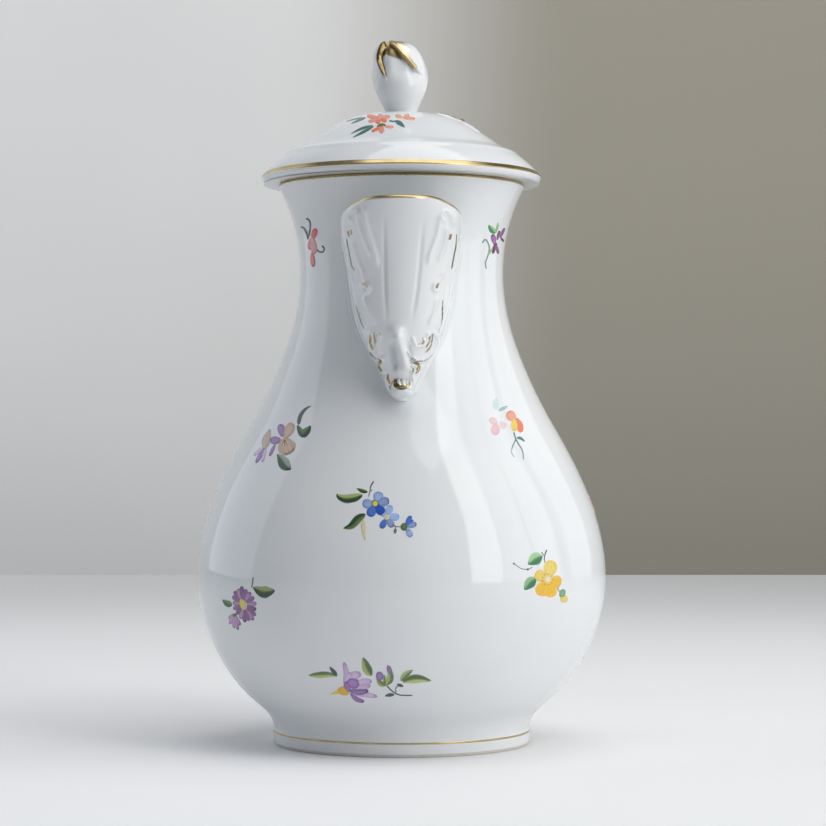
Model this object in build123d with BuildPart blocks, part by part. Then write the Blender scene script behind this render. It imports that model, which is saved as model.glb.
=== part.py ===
"""A porcelain chocolate pot: a pear-shaped pot with a beak spout, an ear handle and a loose lid.

Millimetres, +Z up. The origin is the centre of the foot ring's underside. The spout points to -Y
and the handle to +Y. Every node is a piece of clay that is shaped by itself and then joined with
slip to its neighbour, face to face; only the lid, with its flange and bud, stays loose.
"""
import os

from build123d import *

# --- overall sizes ---------------------------------------------------------------------------
pot_height = 191.0          # foot ring's underside to the mouth
belly_radius = 69.8         # widest point of the pear
belly_height = 56.0         # how high that widest point lies
shoulder_radius = 58.6      # half way up the shoulder
shoulder_height = 96.8
neck_root_radius = 42.4     # where the shoulder turns into the neck
neck_root_height = 128.0
neck_radius = 34.9          # narrowest point of the neck
neck_height = 158.0
mouth_radius = 42.7         # the flared mouth, outside
mouth_flare_depth = 12.0    # how far under the mouth its flare is half done
wall = 3.0                  # porcelain wall of the pot
floor_thickness = 4.0
rim_rounding = 0.95         # on both edges of the mouth, leaves a flat seat for the lid

# --- foot ring -------------------------------------------------------------------------------
foot_height = 6.0
foot_radius = 43.9
foot_width = 6.2            # of the ring that the pot stands on
foot_rounding = 1.2

# --- spout -----------------------------------------------------------------------------------
spout_half_width = 18.9     # at the lip
spout_reach = 74.0          # pot's axis to the tip of the lip
spout_root_height = 116.0   # the beak's lowest point, on the shoulder
spout_root_relief = 1.2     # how far the beak stands out there
spout_nose = 25.0           # length of the rounded front at the lip
spout_wall = 2.8
spout_floor_height = 137.0  # lowest point of the channel inside the beak
lip_height = 181.0          # tip of the lip
lip_tilt = 10.5             # degrees that the lip's edge falls towards the neck
throat_width = 19.0         # oval hole through the neck into the beak
throat_height = 28.0
throat_centre_height = 159.5
scroll_radius = 3.3         # small scroll that closes the beak's rib
scroll_relief = 1.9         # how far its centre stands out of the shoulder
scroll_width = 5.6

# --- handle ----------------------------------------------------------------------------------
handle_width = 10.5         # across, along X
handle_thickness = 9.0
handle_root_sink = 4.9          # how deep the upper end starts inside the neck, to be trimmed
handle_root_height = 168.0
handle_rise = 35.0              # degrees at which the handle leaves the neck
handle_root_length = 20.0
handle_crown_radius = 24.0
handle_back_radius = 95.0
handle_back_turn = 30.0         # degrees turned by the long back
handle_heel_radius = 24.0
handle_heel_turn = 42.0
handle_tail_length = 10.0
handle_fullness = [(0.0, 1.0), (0.3, 1.12), (0.62, 1.0), (0.88, 0.82), (1.0, 0.9)]
thumb_scroll_radius = 4.6
thumb_scroll_width = 8.0
tail_scroll_radius = 4.2
tail_scroll_width = 7.0
scroll_tip_share = 0.3          # of a scroll's radius, at the thin end of its leaf

# --- lid -------------------------------------------------------------------------------------
lid_overhang = 5.1          # of the rim, past the mouth
lid_rim_height = 2.5        # the widest line, above the mouth
lid_skirt_width = 13.8      # from the rim in to the step where the dome begins
lid_step_height = 13.1      # above the mouth
lid_crown_radius = 8.5      # flat top under the bud
lid_crown_height = 24.0     # above the mouth
lid_wall = 3.2
flange_depth = 15.0         # how far the flange reaches into the neck
flange_wall = 3.0
flange_play = 0.8           # between the flange and the narrowest neck

# --- bud on the lid --------------------------------------------------------------------------
bud_radius = 9.4
bud_foot_radius = 5.4
bud_height = 25.3
bud_profile = [(0.86, 0.25), (1.0, 0.50), (0.93, 0.74), (0.77, 0.90)]  # shares, radius and height
petal_thickness = 1.5
petal_count = 3
petal_reach = 0.93          # of the bud's height, where the petals' tips end
petal_breadth = 0.84        # of the bud's radius, half of one petal's width

mouth_inner_radius = mouth_radius - wall
flange_radius = neck_radius - wall - flange_play
lid_radius = mouth_radius + lid_overhang
lid_step_radius = lid_radius - lid_skirt_width
bud_base_height = pot_height + lid_crown_height

os.makedirs("parts", exist_ok=True)


def save(piece, label):
    """Name one finished piece and write it as its own file."""
    piece.part.label = label
    export_step(piece.part, f"parts/{label}.step")


# --- outside of the pot, solid: it trims every piece that is joined to it --------------------
with BuildPart() as pot_outside:
    with BuildSketch(Plane.XZ):
        with BuildLine():
            outline = Spline(
                (foot_radius, foot_height),
                (1.022 * foot_radius, 1.55 * foot_height),
                (0.717 * belly_radius, 0.26 * belly_height),
                (0.880 * belly_radius, 0.503 * belly_height),
                (belly_radius, belly_height),
                (0.955 * belly_radius, 1.375 * belly_height),
                (shoulder_radius, shoulder_height),
                (1.120 * neck_root_radius, neck_root_height - 11),
                (neck_root_radius, neck_root_height),
                (1.050 * neck_radius, neck_height - 13),
                (neck_radius, neck_height),
                (0.878 * mouth_radius, pot_height - mouth_flare_depth),
                (mouth_radius, pot_height),
            )
            Polyline(outline @ 1, (0, pot_height), (0, foot_height), outline @ 0)
        make_face()
    revolve(axis=Axis.Z)


def inside_point(along):
    """A point of the pot's inner wall: straight in from the outline by the wall's thickness."""
    outward = (outline % along).rotate(Axis.Z, -90)
    return (outline @ along) - outward * wall


def pot_radius(height):
    """The pot's outside radius at a height, found by halving the outline again and again."""
    below, above = 0.0, 1.0
    for _ in range(30):
        middle = (below + above) / 2
        if (outline @ middle).Y < height:
            below = middle
        else:
            above = middle
    return (outline @ below).X


# --- pot body: the hollow pear with the throat pierced behind the spout ----------------------
with BuildPart() as pot_body:
    add(pot_outside.part)
    with BuildSketch(Plane.XZ):
        with BuildLine():
            floor_height = foot_height + floor_thickness
            floor = Line((0, floor_height), (0.75 * foot_radius, floor_height))
            inner_wall = [inside_point(along / 12) for along in range(1, 12)]
            inside = Spline(floor @ 1, *inner_wall, (mouth_inner_radius, pot_height))
            Polyline(inside @ 1, (0, pot_height), floor @ 0)
        make_face()
    revolve(axis=Axis.Z, mode=Mode.SUBTRACT)
    with BuildSketch(Plane.XZ.offset(neck_radius - 2 * wall)):
        with Locations((0, throat_centre_height)):
            Ellipse(throat_width / 2, throat_height / 2)
    extrude(amount=4 * wall, mode=Mode.SUBTRACT)
    mouth_edges = pot_body.edges().filter_by(GeomType.CIRCLE).group_by(Axis.Z)[-1]
    fillet(mouth_edges, radius=rim_rounding)
save(pot_body, "pot_body")

# --- foot ring -------------------------------------------------------------------------------
with BuildPart() as foot_ring:
    with BuildSketch(Plane.XZ):
        with BuildLine():
            Polyline(
                (foot_radius - foot_width, 0),
                (foot_radius, 0),
                (foot_radius, foot_height),
                (foot_radius - foot_width, foot_height),
                close=True,
            )
        make_face()
    revolve(axis=Axis.Z)
    fillet(foot_ring.edges().group_by(Axis.Z)[0], radius=foot_rounding)
save(foot_ring, "foot_ring")


# --- spout: an open-topped beak on the front of the neck -------------------------------------
def beak_section(half_width, reach, nose, height):
    """One level cut through the beak: straight cheeks that run into the neck, and a round nose."""
    with BuildSketch(Plane.XY.offset(height)) as section:
        with BuildLine():
            back = -neck_radius / 2
            cheek_end = nose - reach
            Line((-half_width, back), (-half_width, cheek_end))
            EllipticalCenterArc((0, cheek_end), half_width, nose, start_angle=180, arc_size=180)
            Line((half_width, cheek_end), (half_width, back))
            Line((half_width, back), (-half_width, back))
        make_face()
    return section.sketch


# shares of the lip's: height above the root, half width, reach past the root, length of the nose
beak_levels = [
    (0.00, 0.09, 0.000, 0.10),
    (0.08, 0.24, 0.105, 0.20),
    (0.20, 0.44, 0.240, 0.38),
    (0.36, 0.72, 0.373, 0.62),
    (0.55, 0.87, 0.478, 0.78),
    (0.78, 1.00, 0.686, 0.90),
    (1.00, 1.00, 1.000, 1.00),
    (1.15, 0.98, 1.180, 1.02),
]
beak_height = lip_height - spout_root_height
root_reach = pot_radius(spout_root_height) + spout_root_relief


def beak_solid(shrink, floor_height):
    """The beak's loft, made smaller all round by shrink, from floor_height up."""
    sections = []
    for level, width_share, reach_share, nose_share in beak_levels:
        height = spout_root_height + level * beak_height
        half_width = width_share * spout_half_width - shrink
        reach = root_reach + reach_share * (spout_reach - root_reach) - shrink
        nose = max(nose_share * spout_nose - shrink, spout_wall / 4)
        if height >= floor_height and half_width > 0:
            sections.append(beak_section(half_width, reach, nose, height))
    return loft(sections=sections)


with BuildPart() as spout:
    add(beak_solid(0, spout_root_height))
    add(beak_solid(spout_wall, spout_floor_height), mode=Mode.SUBTRACT)
    lip_plane = Plane(origin=(0, -spout_reach, lip_height)).rotated((-lip_tilt, 0, 0))
    split(bisect_by=lip_plane, keep=Keep.BOTTOM)
    add(pot_outside.part, mode=Mode.SUBTRACT)
save(spout, "spout")

with BuildPart() as spout_scroll:
    with BuildSketch(Plane.YZ.offset(-scroll_width / 2)):
        scroll_height = spout_root_height + 1.2 * scroll_radius
        with Locations((-root_reach - scroll_relief, scroll_height)):
            Circle(scroll_radius)
    extrude(amount=scroll_width)
    fillet(spout_scroll.edges().filter_by(GeomType.CIRCLE), radius=0.3 * scroll_radius)
    add(pot_outside.part, mode=Mode.SUBTRACT)
    add(spout.part, mode=Mode.SUBTRACT)
save(spout_scroll, "spout_scroll")

# --- handle: one ear-shaped bow, its ends trimmed to the neck and the shoulder ----------------
with BuildPart() as handle:
    with BuildLine(Plane.YZ) as bow:
        rise = PolarLine(
            (neck_radius - handle_root_sink, handle_root_height), handle_root_length, handle_rise
        )
        crown = JernArc(rise @ 1, rise % 1, handle_crown_radius, -90 - handle_rise)
        back = JernArc(crown @ 1, crown % 1, handle_back_radius, -handle_back_turn)
        heel = JernArc(back @ 1, back % 1, handle_heel_radius, -handle_heel_turn)
        tail = PolarLine(heel @ 1, handle_tail_length, direction=heel % 1)
    for along, fullness in handle_fullness:
        with BuildSketch(Plane(origin=bow.wire() @ along, z_dir=bow.wire() % along, x_dir=(1, 0, 0))):
            Ellipse(fullness * handle_width / 2, fullness * handle_thickness / 2)
    sweep(path=bow.wire(), multisection=True)
    add(pot_outside.part, mode=Mode.SUBTRACT)
save(handle, "handle")


def scroll(radius, width, centre, tip):
    """A leaf across the handle that rolls up into a scroll, trimmed by the handle and the pot."""
    with BuildPart() as roll:
        with BuildSketch(Plane.YZ.offset(-width / 2)):
            with Locations(centre):
                Circle(radius)
            with Locations(tip):
                Circle(scroll_tip_share * radius)
            make_hull()
        extrude(amount=width)
        sides = roll.faces().filter_by(Axis.X)
        fillet(sides.edges(), radius=0.8 * scroll_tip_share * radius)
        add(handle.part, mode=Mode.SUBTRACT)
        add(pot_outside.part, mode=Mode.SUBTRACT)
    return roll


def above_handle(arc, along, distance):
    """The point (y, z) at that distance outwards from the handle's centre line."""
    outward = (arc % along).rotate(Axis.X, 90)
    point = (arc @ along) + outward * distance
    return (point.Y, point.Z)


thumb_scroll = scroll(
    thumb_scroll_radius,
    thumb_scroll_width,
    above_handle(crown, 0.42, 0.56 * handle_thickness + 0.45 * thumb_scroll_radius),
    above_handle(crown, 0.12, 0.50 * handle_thickness),
)
save(thumb_scroll, "handle_thumb_scroll")

tail_scroll = scroll(
    tail_scroll_radius,
    tail_scroll_width,
    above_handle(heel, 0.80, 0.41 * handle_thickness + 0.45 * tail_scroll_radius),
    above_handle(heel, 0.25, 0.41 * handle_thickness),
)
save(tail_scroll, "handle_tail_scroll")

# --- lid: stepped dome with an overhanging rim ------------------------------------------------
with BuildPart() as lid:
    with BuildSketch(Plane.XZ):
        with BuildLine():
            crown_line = Line((0, bud_base_height), (lid_crown_radius, bud_base_height))
            dome = Spline(
                crown_line @ 1,
                (0.60 * lid_step_radius, pot_height + 0.895 * lid_crown_height),
                (lid_step_radius, pot_height + lid_step_height),
                tangents=((1.0, 0.0), (1.0, -0.66)),
            )
            skirt = ThreePointArc(
                dome @ 1,
                (0.868 * lid_radius, pot_height + 0.664 * lid_step_height),
                (lid_radius, pot_height + lid_rim_height),
            )
            rim = ThreePointArc(
                skirt @ 1,
                (lid_radius - 0.6, pot_height + 0.32 * lid_rim_height),
                (lid_radius - 2.0, pot_height),
            )
            seat = Line(rim @ 1, (flange_radius - flange_wall, pot_height))
            hollow = Spline(
                seat @ 1,
                (0.62 * lid_step_radius, pot_height + 0.64 * lid_crown_height),
                (0, bud_base_height - lid_wall),
                tangents=((0.0, 1.0), (-1.0, 0.0)),
            )
            Line(hollow @ 1, crown_line @ 0)
        make_face()
    revolve(axis=Axis.Z)
save(lid, "lid")

with BuildPart() as lid_flange:
    with BuildSketch(Plane.XZ):
        with Locations((flange_radius - flange_wall / 2, pot_height - flange_depth / 2)):
            Rectangle(flange_wall, flange_depth)
    revolve(axis=Axis.Z)
    fillet(lid_flange.edges().group_by(Axis.Z)[0], radius=flange_wall / 3)
save(lid_flange, "lid_flange")


# --- bud: a blunt core wrapped in petals ------------------------------------------------------
def bud_shape(shrink):
    """The bud's round shape, made slimmer by shrink."""
    with BuildPart() as bud:
        with BuildSketch(Plane.XZ):
            with BuildLine():
                foot_line = Line((0, bud_base_height), (bud_foot_radius - shrink / 2, bud_base_height))
                waist = [
                    (radius_share * bud_radius - shrink, bud_base_height + height_share * bud_height)
                    for radius_share, height_share in bud_profile
                ]
                side = Spline(
                    foot_line @ 1,
                    *waist,
                    (0, bud_base_height + bud_height),
                    tangents=((0.12, 1.0), (-1.0, 0.0)),
                )
                Line(side @ 1, foot_line @ 0)
            make_face()
        revolve(axis=Axis.Z)
    return bud.part


with BuildPart() as finial_bud:
    add(bud_shape(petal_thickness))
save(finial_bud, "finial_bud")

with BuildPart() as finial_petals:
    petal_half_width = petal_breadth * bud_radius
    petal_belly = bud_base_height + 0.42 * bud_height
    petal_tip = bud_base_height + petal_reach * bud_height
    for turn in range(petal_count):
        facing = Plane.XZ.rotated((0, 0, turn * 360 / petal_count))
        with BuildSketch(facing):
            with BuildLine():
                left = Spline(
                    (0, bud_base_height),
                    (-petal_half_width, petal_belly),
                    (0, petal_tip),
                    tangents=((-1.0, 0.2), (0.6, 1.0)),
                )
                right = Spline(
                    left @ 1,
                    (petal_half_width, petal_belly),
                    left @ 0,
                    tangents=((0.6, -1.0), (-1.0, -0.2)),
                )
            make_face()
        extrude(amount=2 * bud_radius)
    add(bud_shape(0), mode=Mode.INTERSECT)
    add(finial_bud.part, mode=Mode.SUBTRACT)
save(finial_petals, "finial_petals")
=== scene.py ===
"""A porcelain chocolate pot: its glaze, gilding and painted flower sprigs, on the CAD frame."""
import functools
import math

import bmesh
import bpy
import numpy as np
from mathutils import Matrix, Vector
from mathutils.bvhtree import BVHTree


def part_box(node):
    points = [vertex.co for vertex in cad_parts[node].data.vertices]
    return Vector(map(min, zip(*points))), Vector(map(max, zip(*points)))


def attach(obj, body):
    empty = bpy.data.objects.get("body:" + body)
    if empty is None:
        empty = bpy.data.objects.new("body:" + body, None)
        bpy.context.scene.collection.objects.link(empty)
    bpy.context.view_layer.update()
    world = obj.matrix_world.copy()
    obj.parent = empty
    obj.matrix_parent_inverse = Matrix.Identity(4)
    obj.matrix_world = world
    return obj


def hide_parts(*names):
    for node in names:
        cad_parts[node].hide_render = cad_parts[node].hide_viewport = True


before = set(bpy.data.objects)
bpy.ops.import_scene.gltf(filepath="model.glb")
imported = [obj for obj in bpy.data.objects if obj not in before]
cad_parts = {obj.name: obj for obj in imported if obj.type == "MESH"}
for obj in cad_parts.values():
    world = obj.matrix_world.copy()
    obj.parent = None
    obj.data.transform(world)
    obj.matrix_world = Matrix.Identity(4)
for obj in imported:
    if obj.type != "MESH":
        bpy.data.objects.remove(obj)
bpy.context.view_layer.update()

MM = 0.001                  # meshes are worked out in millimetres
TURN = 2 * math.pi

# --- the camera, as fitted to the photograph's 826 x 826 frame
FRAME_PX = 826
FOCAL_PX = 2507.0
AXIS_COLUMN = 401.5         # the pot's axis in the frame
EYE_ROW = 443.0             # the row of the horizon
EYE = Vector((0.0, -0.860, 0.1026))
SENSOR_MM = 36.0

camera_data = bpy.data.cameras.new("camera")
camera_data.sensor_width = SENSOR_MM
camera_data.lens = FOCAL_PX / FRAME_PX * SENSOR_MM
camera_data.shift_x = (FRAME_PX / 2 - AXIS_COLUMN) / FRAME_PX
camera_data.shift_y = (EYE_ROW - FRAME_PX / 2) / FRAME_PX
camera = bpy.data.objects.new("camera", camera_data)
camera.location = EYE
camera.rotation_euler = (math.pi / 2, 0.0, 0.0)
bpy.context.scene.collection.objects.link(camera)
bpy.context.scene.camera = camera
bpy.context.scene.view_settings.view_transform = "Standard"


# --- numbers and lines
def smoothstep(low, high, value):
    share = np.clip((value - low) / (high - low), 0.0, 1.0)
    return share * share * (3 - 2 * share)


def bell(offset, width):
    """A soft bump: 1 at no offset, fading over the width."""
    return np.exp(-((offset / width) ** 2))


def highest(*masks):
    """The greatest of several masks at each point."""
    return functools.reduce(np.maximum, masks)


def circle(count, start=0.0):
    """Angles evenly spaced round a circle."""
    return np.linspace(start, start + TURN, count, endpoint=False)


def wrapped(angle):
    """An angle brought between minus and plus half a turn."""
    return (angle + math.pi) % TURN - math.pi


def left_of(line):
    """Unit vectors to the left of a flat line, at each of its points."""
    heading = np.gradient(line, axis=0)
    heading /= np.maximum(np.hypot(*heading.T), 1e-9)[:, None]
    return np.c_[-heading[:, 1], heading[:, 0]]


def smoothed(values, width):
    kernel = np.hanning(width) / np.hanning(width).sum()
    half = width // 2
    before = 2 * values[0] - values[half:0:-1]
    after = 2 * values[-1] - values[-2 : -2 - half : -1]
    return np.convolve(np.r_[before, values, after], kernel, "valid")


def curve_through(points, samples=40):
    """A smooth line through a few points (Catmull-Rom)."""
    points = np.asarray(points, float)
    padded = np.vstack([2 * points[0] - points[1], points, 2 * points[-1] - points[-2]])
    count = len(points) - 1
    at = np.linspace(0, count, samples)
    span = np.minimum(at.astype(int), count - 1)
    t = (at - span)[:, None]
    a, b, c, d = (padded[span + k] for k in range(4))
    return 0.5 * (2 * b + (c - a) * t + (2 * a - 5 * b + 4 * c - d) * t**2
                  + (3 * b - 3 * c + d - a) * t**3)


def read_row(words):
    """A table row's points, written x,y, and its other words."""
    points = [tuple(map(float, word.split(","))) for word in words if "," in word]
    return points, [word for word in words if "," not in word]


def read_lines(text):
    """A table of lines: each row has the line's points, its width and sometimes its height."""
    rows = [read_row(row.split()) for row in text.strip().splitlines()]
    return [(points, *map(float, rest)) for points, rest in rows]


def stroke(points, line, width, height, fade_in=0.15, fade_out=0.15):
    """Height at each point of a soft ridge that fades over the line's first and last share."""
    line = curve_through(line)
    steps = np.diff(line, axis=0)
    lengths = np.hypot(*steps.T)
    before = np.r_[0.0, np.cumsum(lengths)]
    best = np.full(len(points), 1e9)
    along = np.zeros(len(points))
    for start, step, length, done in zip(line, steps, lengths, before):
        share = np.clip(((points - start) @ step) / length**2, 0, 1)
        away = np.hypot(*(points - start - share[:, None] * step).T)
        nearer = away < best
        best = np.where(nearer, away, best)
        along = np.where(nearer, (done + share * length) / before[-1], along)
    fade = smoothstep(0.0, fade_in, along + 0.02) * smoothstep(0.0, fade_out, 1.02 - along)
    return height * fade * bell(best, width)


def strokes(points, table, *fades):
    """The summed height of a table of strokes."""
    return sum(stroke(points, *row, *fades) for row in table)


def pixels_of(points):
    """Where the camera sees points given in millimetres: columns and rows."""
    depth = points[:, 1] - EYE.y / MM
    columns = AXIS_COLUMN + FOCAL_PX * points[:, 0] / depth
    rows = EYE_ROW - FOCAL_PX * (points[:, 2] - EYE.z / MM) / depth
    return np.c_[columns, rows]


# --- meshes
def facing(points, faces, normals):
    """The faces, each turned to the side that its points' normals are on."""
    turned_faces = []
    for face in faces:
        a, b, c = points[list(face[:3])]
        ahead = np.cross(b - a, c - a) @ normals[face[0]]
        turned_faces.append(face if ahead >= 0 else face[::-1])
    return turned_faces


def mesh_object(name, points, faces, body, material, replaces=(), colours=None, masks=None,
                normals=None):
    """A smooth-shaded piece from points in millimetres, riding on a body."""
    points = np.asarray(points)
    if normals is not None:
        faces = facing(points, faces, normals)
    mesh = bpy.data.meshes.new(name)
    mesh.from_pydata([tuple(p) for p in points * MM], [], faces)
    if normals is None:
        work = bmesh.new()
        work.from_mesh(mesh)
        bmesh.ops.recalc_face_normals(work, faces=work.faces)
        work.to_mesh(mesh)
        work.free()
    mesh.polygons.foreach_set("use_smooth", [True] * len(mesh.polygons))
    if colours is not None:
        layer = mesh.color_attributes.new("paint", "FLOAT_COLOR", "POINT")
        layer.data.foreach_set("color", np.c_[colours, np.ones(len(colours))].ravel())
    for mask_name, values in (masks or {}).items():
        layer = mesh.attributes.new(mask_name, "FLOAT", "POINT")
        layer.data.foreach_set("value", np.asarray(values, float).ravel())
    piece = bpy.data.objects.new(name, mesh)
    bpy.context.scene.collection.objects.link(piece)
    piece.data.materials.append(material)
    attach(piece, body)
    if replaces:
        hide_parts(*replaces)
    return piece


def grid_faces(rows, columns, wrap=False, ends=False):
    """Quads of a grid of points; wrap joins the last column to the first, ends closes both ends."""
    faces = []
    for row in range(rows - 1):
        for column in range(columns if wrap else columns - 1):
            a, b = (row * columns + place for place in (column, (column + 1) % columns))
            faces.append((a, b, b + columns, a + columns))
    if ends:
        faces.append(tuple(range(columns))[::-1])
        faces.append(tuple(range((rows - 1) * columns, rows * columns)))
    return faces


def box_of(node):
    """A CAD node's lowest and highest corners, in millimetres."""
    return [np.array(corner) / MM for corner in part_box(node)]


def tree_of(node):
    """What rays can be cast at: a CAD node's mesh, in metres."""
    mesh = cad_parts[node].data
    return BVHTree.FromPolygons(
        [v.co.copy() for v in mesh.vertices], [tuple(p.vertices) for p in mesh.polygons]
    )


def cast(tree, start, direction):
    """The first point of a tree's mesh that a ray meets, in millimetres, or None."""
    hit = tree.ray_cast(Vector(start) * MM, Vector(direction).normalized())
    return None if hit[0] is None else np.array(hit[0]) / MM


def section_of(node):
    """A round node's closed section: its (radius, height) points in millimetres, in order."""
    work = bmesh.new()
    work.from_mesh(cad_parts[node].data)
    bmesh.ops.remove_doubles(work, verts=work.verts, dist=1e-7)
    cut = bmesh.ops.bisect_plane(
        work, geom=list(work.verts) + list(work.edges) + list(work.faces),
        plane_co=(0, 0, 0), plane_no=(0, 1, 0), dist=1e-9,
    )["geom_cut"]
    links = {}
    for edge in cut:
        if isinstance(edge, bmesh.types.BMEdge) and min(v.co.x for v in edge.verts) > -1e-7:
            a, b = edge.verts
            links.setdefault(a, []).append(b)
            links.setdefault(b, []).append(a)
    ends = [v for v in links if len(links[v]) == 1]
    start = max(ends or links, key=lambda v: v.co.z)
    chain, last = [start], None
    while len(chain) <= len(links) + 1:
        ahead = [v for v in links[chain[-1]] if v is not last and v is not chain[-1]]
        if not ahead or (len(chain) > 2 and ahead[0] is start):
            break
        last = chain[-1]
        chain.append(ahead[0])
    points = np.array([(v.co.x, v.co.z) for v in chain]) / MM
    work.free()
    return points


SHARP_TURN = 0.45           # between two steps of a section, in radians
BAND_COLUMNS = 256
BAND_LIFT, BAND_SINK = 0.05, 0.02       # how far a band stands out, and its edges go in


def rounded_section(points, step):
    """The section with points every step, smooth between its sharp corners."""
    steps = np.diff(points, axis=0)
    points = points[np.r_[True, np.hypot(*steps.T) > 1e-4]]
    heading = np.unwrap(np.arctan2(*np.diff(points, axis=0).T[::-1]))
    corners = [0, *(np.flatnonzero(np.abs(np.diff(heading)) > SHARP_TURN) + 1), len(points) - 1]
    made = [points[:1]]
    for a, b in zip(corners[:-1], corners[1:]):
        length = np.hypot(*np.diff(points[a : b + 1], axis=0).T).sum()
        samples = max(int(length / step), 1) + 1
        made.append(curve_through(points[a : b + 1], samples)[1:] if b > a + 1
                    else np.linspace(points[a], points[b], samples)[1:])
    return np.vstack(made)


def about_axis(flat, angle):
    """Radial and upward parts, put in space at angles round the axis; angle 0 faces the spout."""
    return np.c_[flat[:, 0] * np.sin(angle), -flat[:, 0] * np.cos(angle), flat[:, 1]]


def turned(section, columns, relief=None):
    """Points, faces and the points' angles of a section turned about the axis.

    The section runs with its outer side on the left, and relief(r, z, angle) lifts points off it.
    """
    r, z = (np.repeat(values, columns) for values in section.T)
    angle = np.tile(circle(columns), len(section))
    flat = np.c_[r, z]
    if relief is not None:
        out = relief(r, z, angle)[:, None]
        flat = flat + np.repeat(left_of(section), columns, axis=0) * out
    return about_axis(flat, angle), grid_faces(len(section), columns, wrap=True), angle


def band(name, section, body):
    """Gilding painted on a round piece along a stretch of its section."""
    outward = left_of(section)
    outward *= np.sign(outward @ np.array([1.0, 0.2]))[:, None]
    share = np.sin(np.linspace(0, math.pi, len(section)))[:, None]
    raised = section + outward * (BAND_LIFT * np.minimum(1.0, 3 * share) - BAND_SINK)
    points, faces, angle = turned(raised, BAND_COLUMNS)
    normals = about_axis(np.repeat(outward, BAND_COLUMNS, axis=0), angle)
    mesh_object(name, points, faces, body, GOLD, normals=normals)


# --- materials
class Finish:
    """A procedural material: its shader, and the nodes that feed it."""

    def __init__(self, name):
        self.material = bpy.data.materials.new(name)
        self.material.use_nodes = True
        self.tree = self.material.node_tree
        self.shader = self.tree.nodes["Principled BSDF"]
        self.place = self.node("TexCoord").outputs["Object"]

    def node(self, kind, inputs=(), **settings):
        node = self.tree.nodes.new("ShaderNode" + kind)
        for name, setting in settings.items():
            setattr(node, name, setting)
        for socket, value in dict(inputs).items():
            self.put(value, node.inputs[socket])
        return node

    def put(self, value, socket):
        """Sets a socket to a number or a colour, or links it to another node's output."""
        if isinstance(value, bpy.types.NodeSocket):
            self.tree.links.new(value, socket)
        else:
            socket.default_value = (*value, 1.0) if isinstance(value, tuple) else value

    def shade(self, colour, roughness):
        self.put(colour, self.shader.inputs["Base Color"])
        self.put(roughness, self.shader.inputs["Roughness"])

    def noise(self, scale, detail=3.0, distortion=0.0):
        """Procedural noise; scale is in features per metre."""
        return self.node("TexNoise", {"Scale": scale, "Detail": detail, "Distortion": distortion,
                                      "Vector": self.place}).outputs["Fac"]

    def ramp(self, value, *stops):
        """A colour that goes from one stop, (position, colour), to the other."""
        node = self.node("ValToRGB", {"Fac": value})
        for element, (position, colour) in zip(node.color_ramp.elements, stops):
            element.position = position
            element.color = (*colour, 1.0)
        return node.outputs["Color"]

    def mix(self, share, a, b, kind="RGBA", blend="MIX"):
        # the Mix node's sockets go by number, as its number and colour sockets share their names
        first, result = {"FLOAT": (2, 0), "RGBA": (6, 2)}[kind]
        node = self.node("Mix", data_type=kind, blend_type=blend)
        for value, socket in ((share, 0), (a, first), (b, first + 1)):
            self.put(value, node.inputs[socket])
        return node.outputs[result]

    def spread(self, value, start=(0.0, 1.0), to=(0.0, 1.0), kind="LINEAR"):
        """A value moved from one range to another."""
        ranges = dict(zip(("From Min", "From Max", "To Min", "To Max"), (*start, *to)))
        node = self.node("MapRange", {**ranges, "Value": value}, interpolation_type=kind)
        return node.outputs["Result"]

    def attribute(self, name, output="Fac"):
        return self.node("Attribute", attribute_name=name).outputs[output]

    def bump(self, height, strength, distance=0.0001):
        node = self.node("Bump", {"Strength": strength, "Distance": distance, "Height": height})
        self.put(node.outputs["Normal"], self.shader.inputs["Normal"])

    def gold(self):
        return self.ramp(self.noise(GOLD_WEAR_SCALE), (0.25, GOLD_WORN), (0.62, GOLD_PALE))


GLAZE_WHITE, GLAZE_SHADE = (0.775, 0.795, 0.810), (0.735, 0.765, 0.790)
# glaze tint for pooled glaze in recesses, also used as painted shade
POOLED_AND_SHADED_GLAZE = (0.560, 0.640, 0.680)
BISCUIT, BISCUIT_SHADE = (0.780, 0.745, 0.690), (0.700, 0.660, 0.600)
GOLD_PALE, GOLD_WORN = (0.560, 0.435, 0.210), (0.400, 0.300, 0.135)
# dark brown gold: painted shade on the gilding
GOLD_SHADED = (0.100, 0.070, 0.034)
WHITE, STREAK = (1.0, 1.0, 1.0), (0.86, 0.86, 0.86)
# noise scales, in features per metre
GLAZE_CLOUD_SCALE, GLAZE_SPECKLE_SCALE, GLAZE_WAVE_SCALE = 22.0, 260.0, 34.0
GOLD_WEAR_SCALE, GOLD_GRAIN_SCALE, BISCUIT_GRAIN_SCALE, BRUSH_SCALE = 120.0, 900.0, 1400.0, 1500.0


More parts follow.
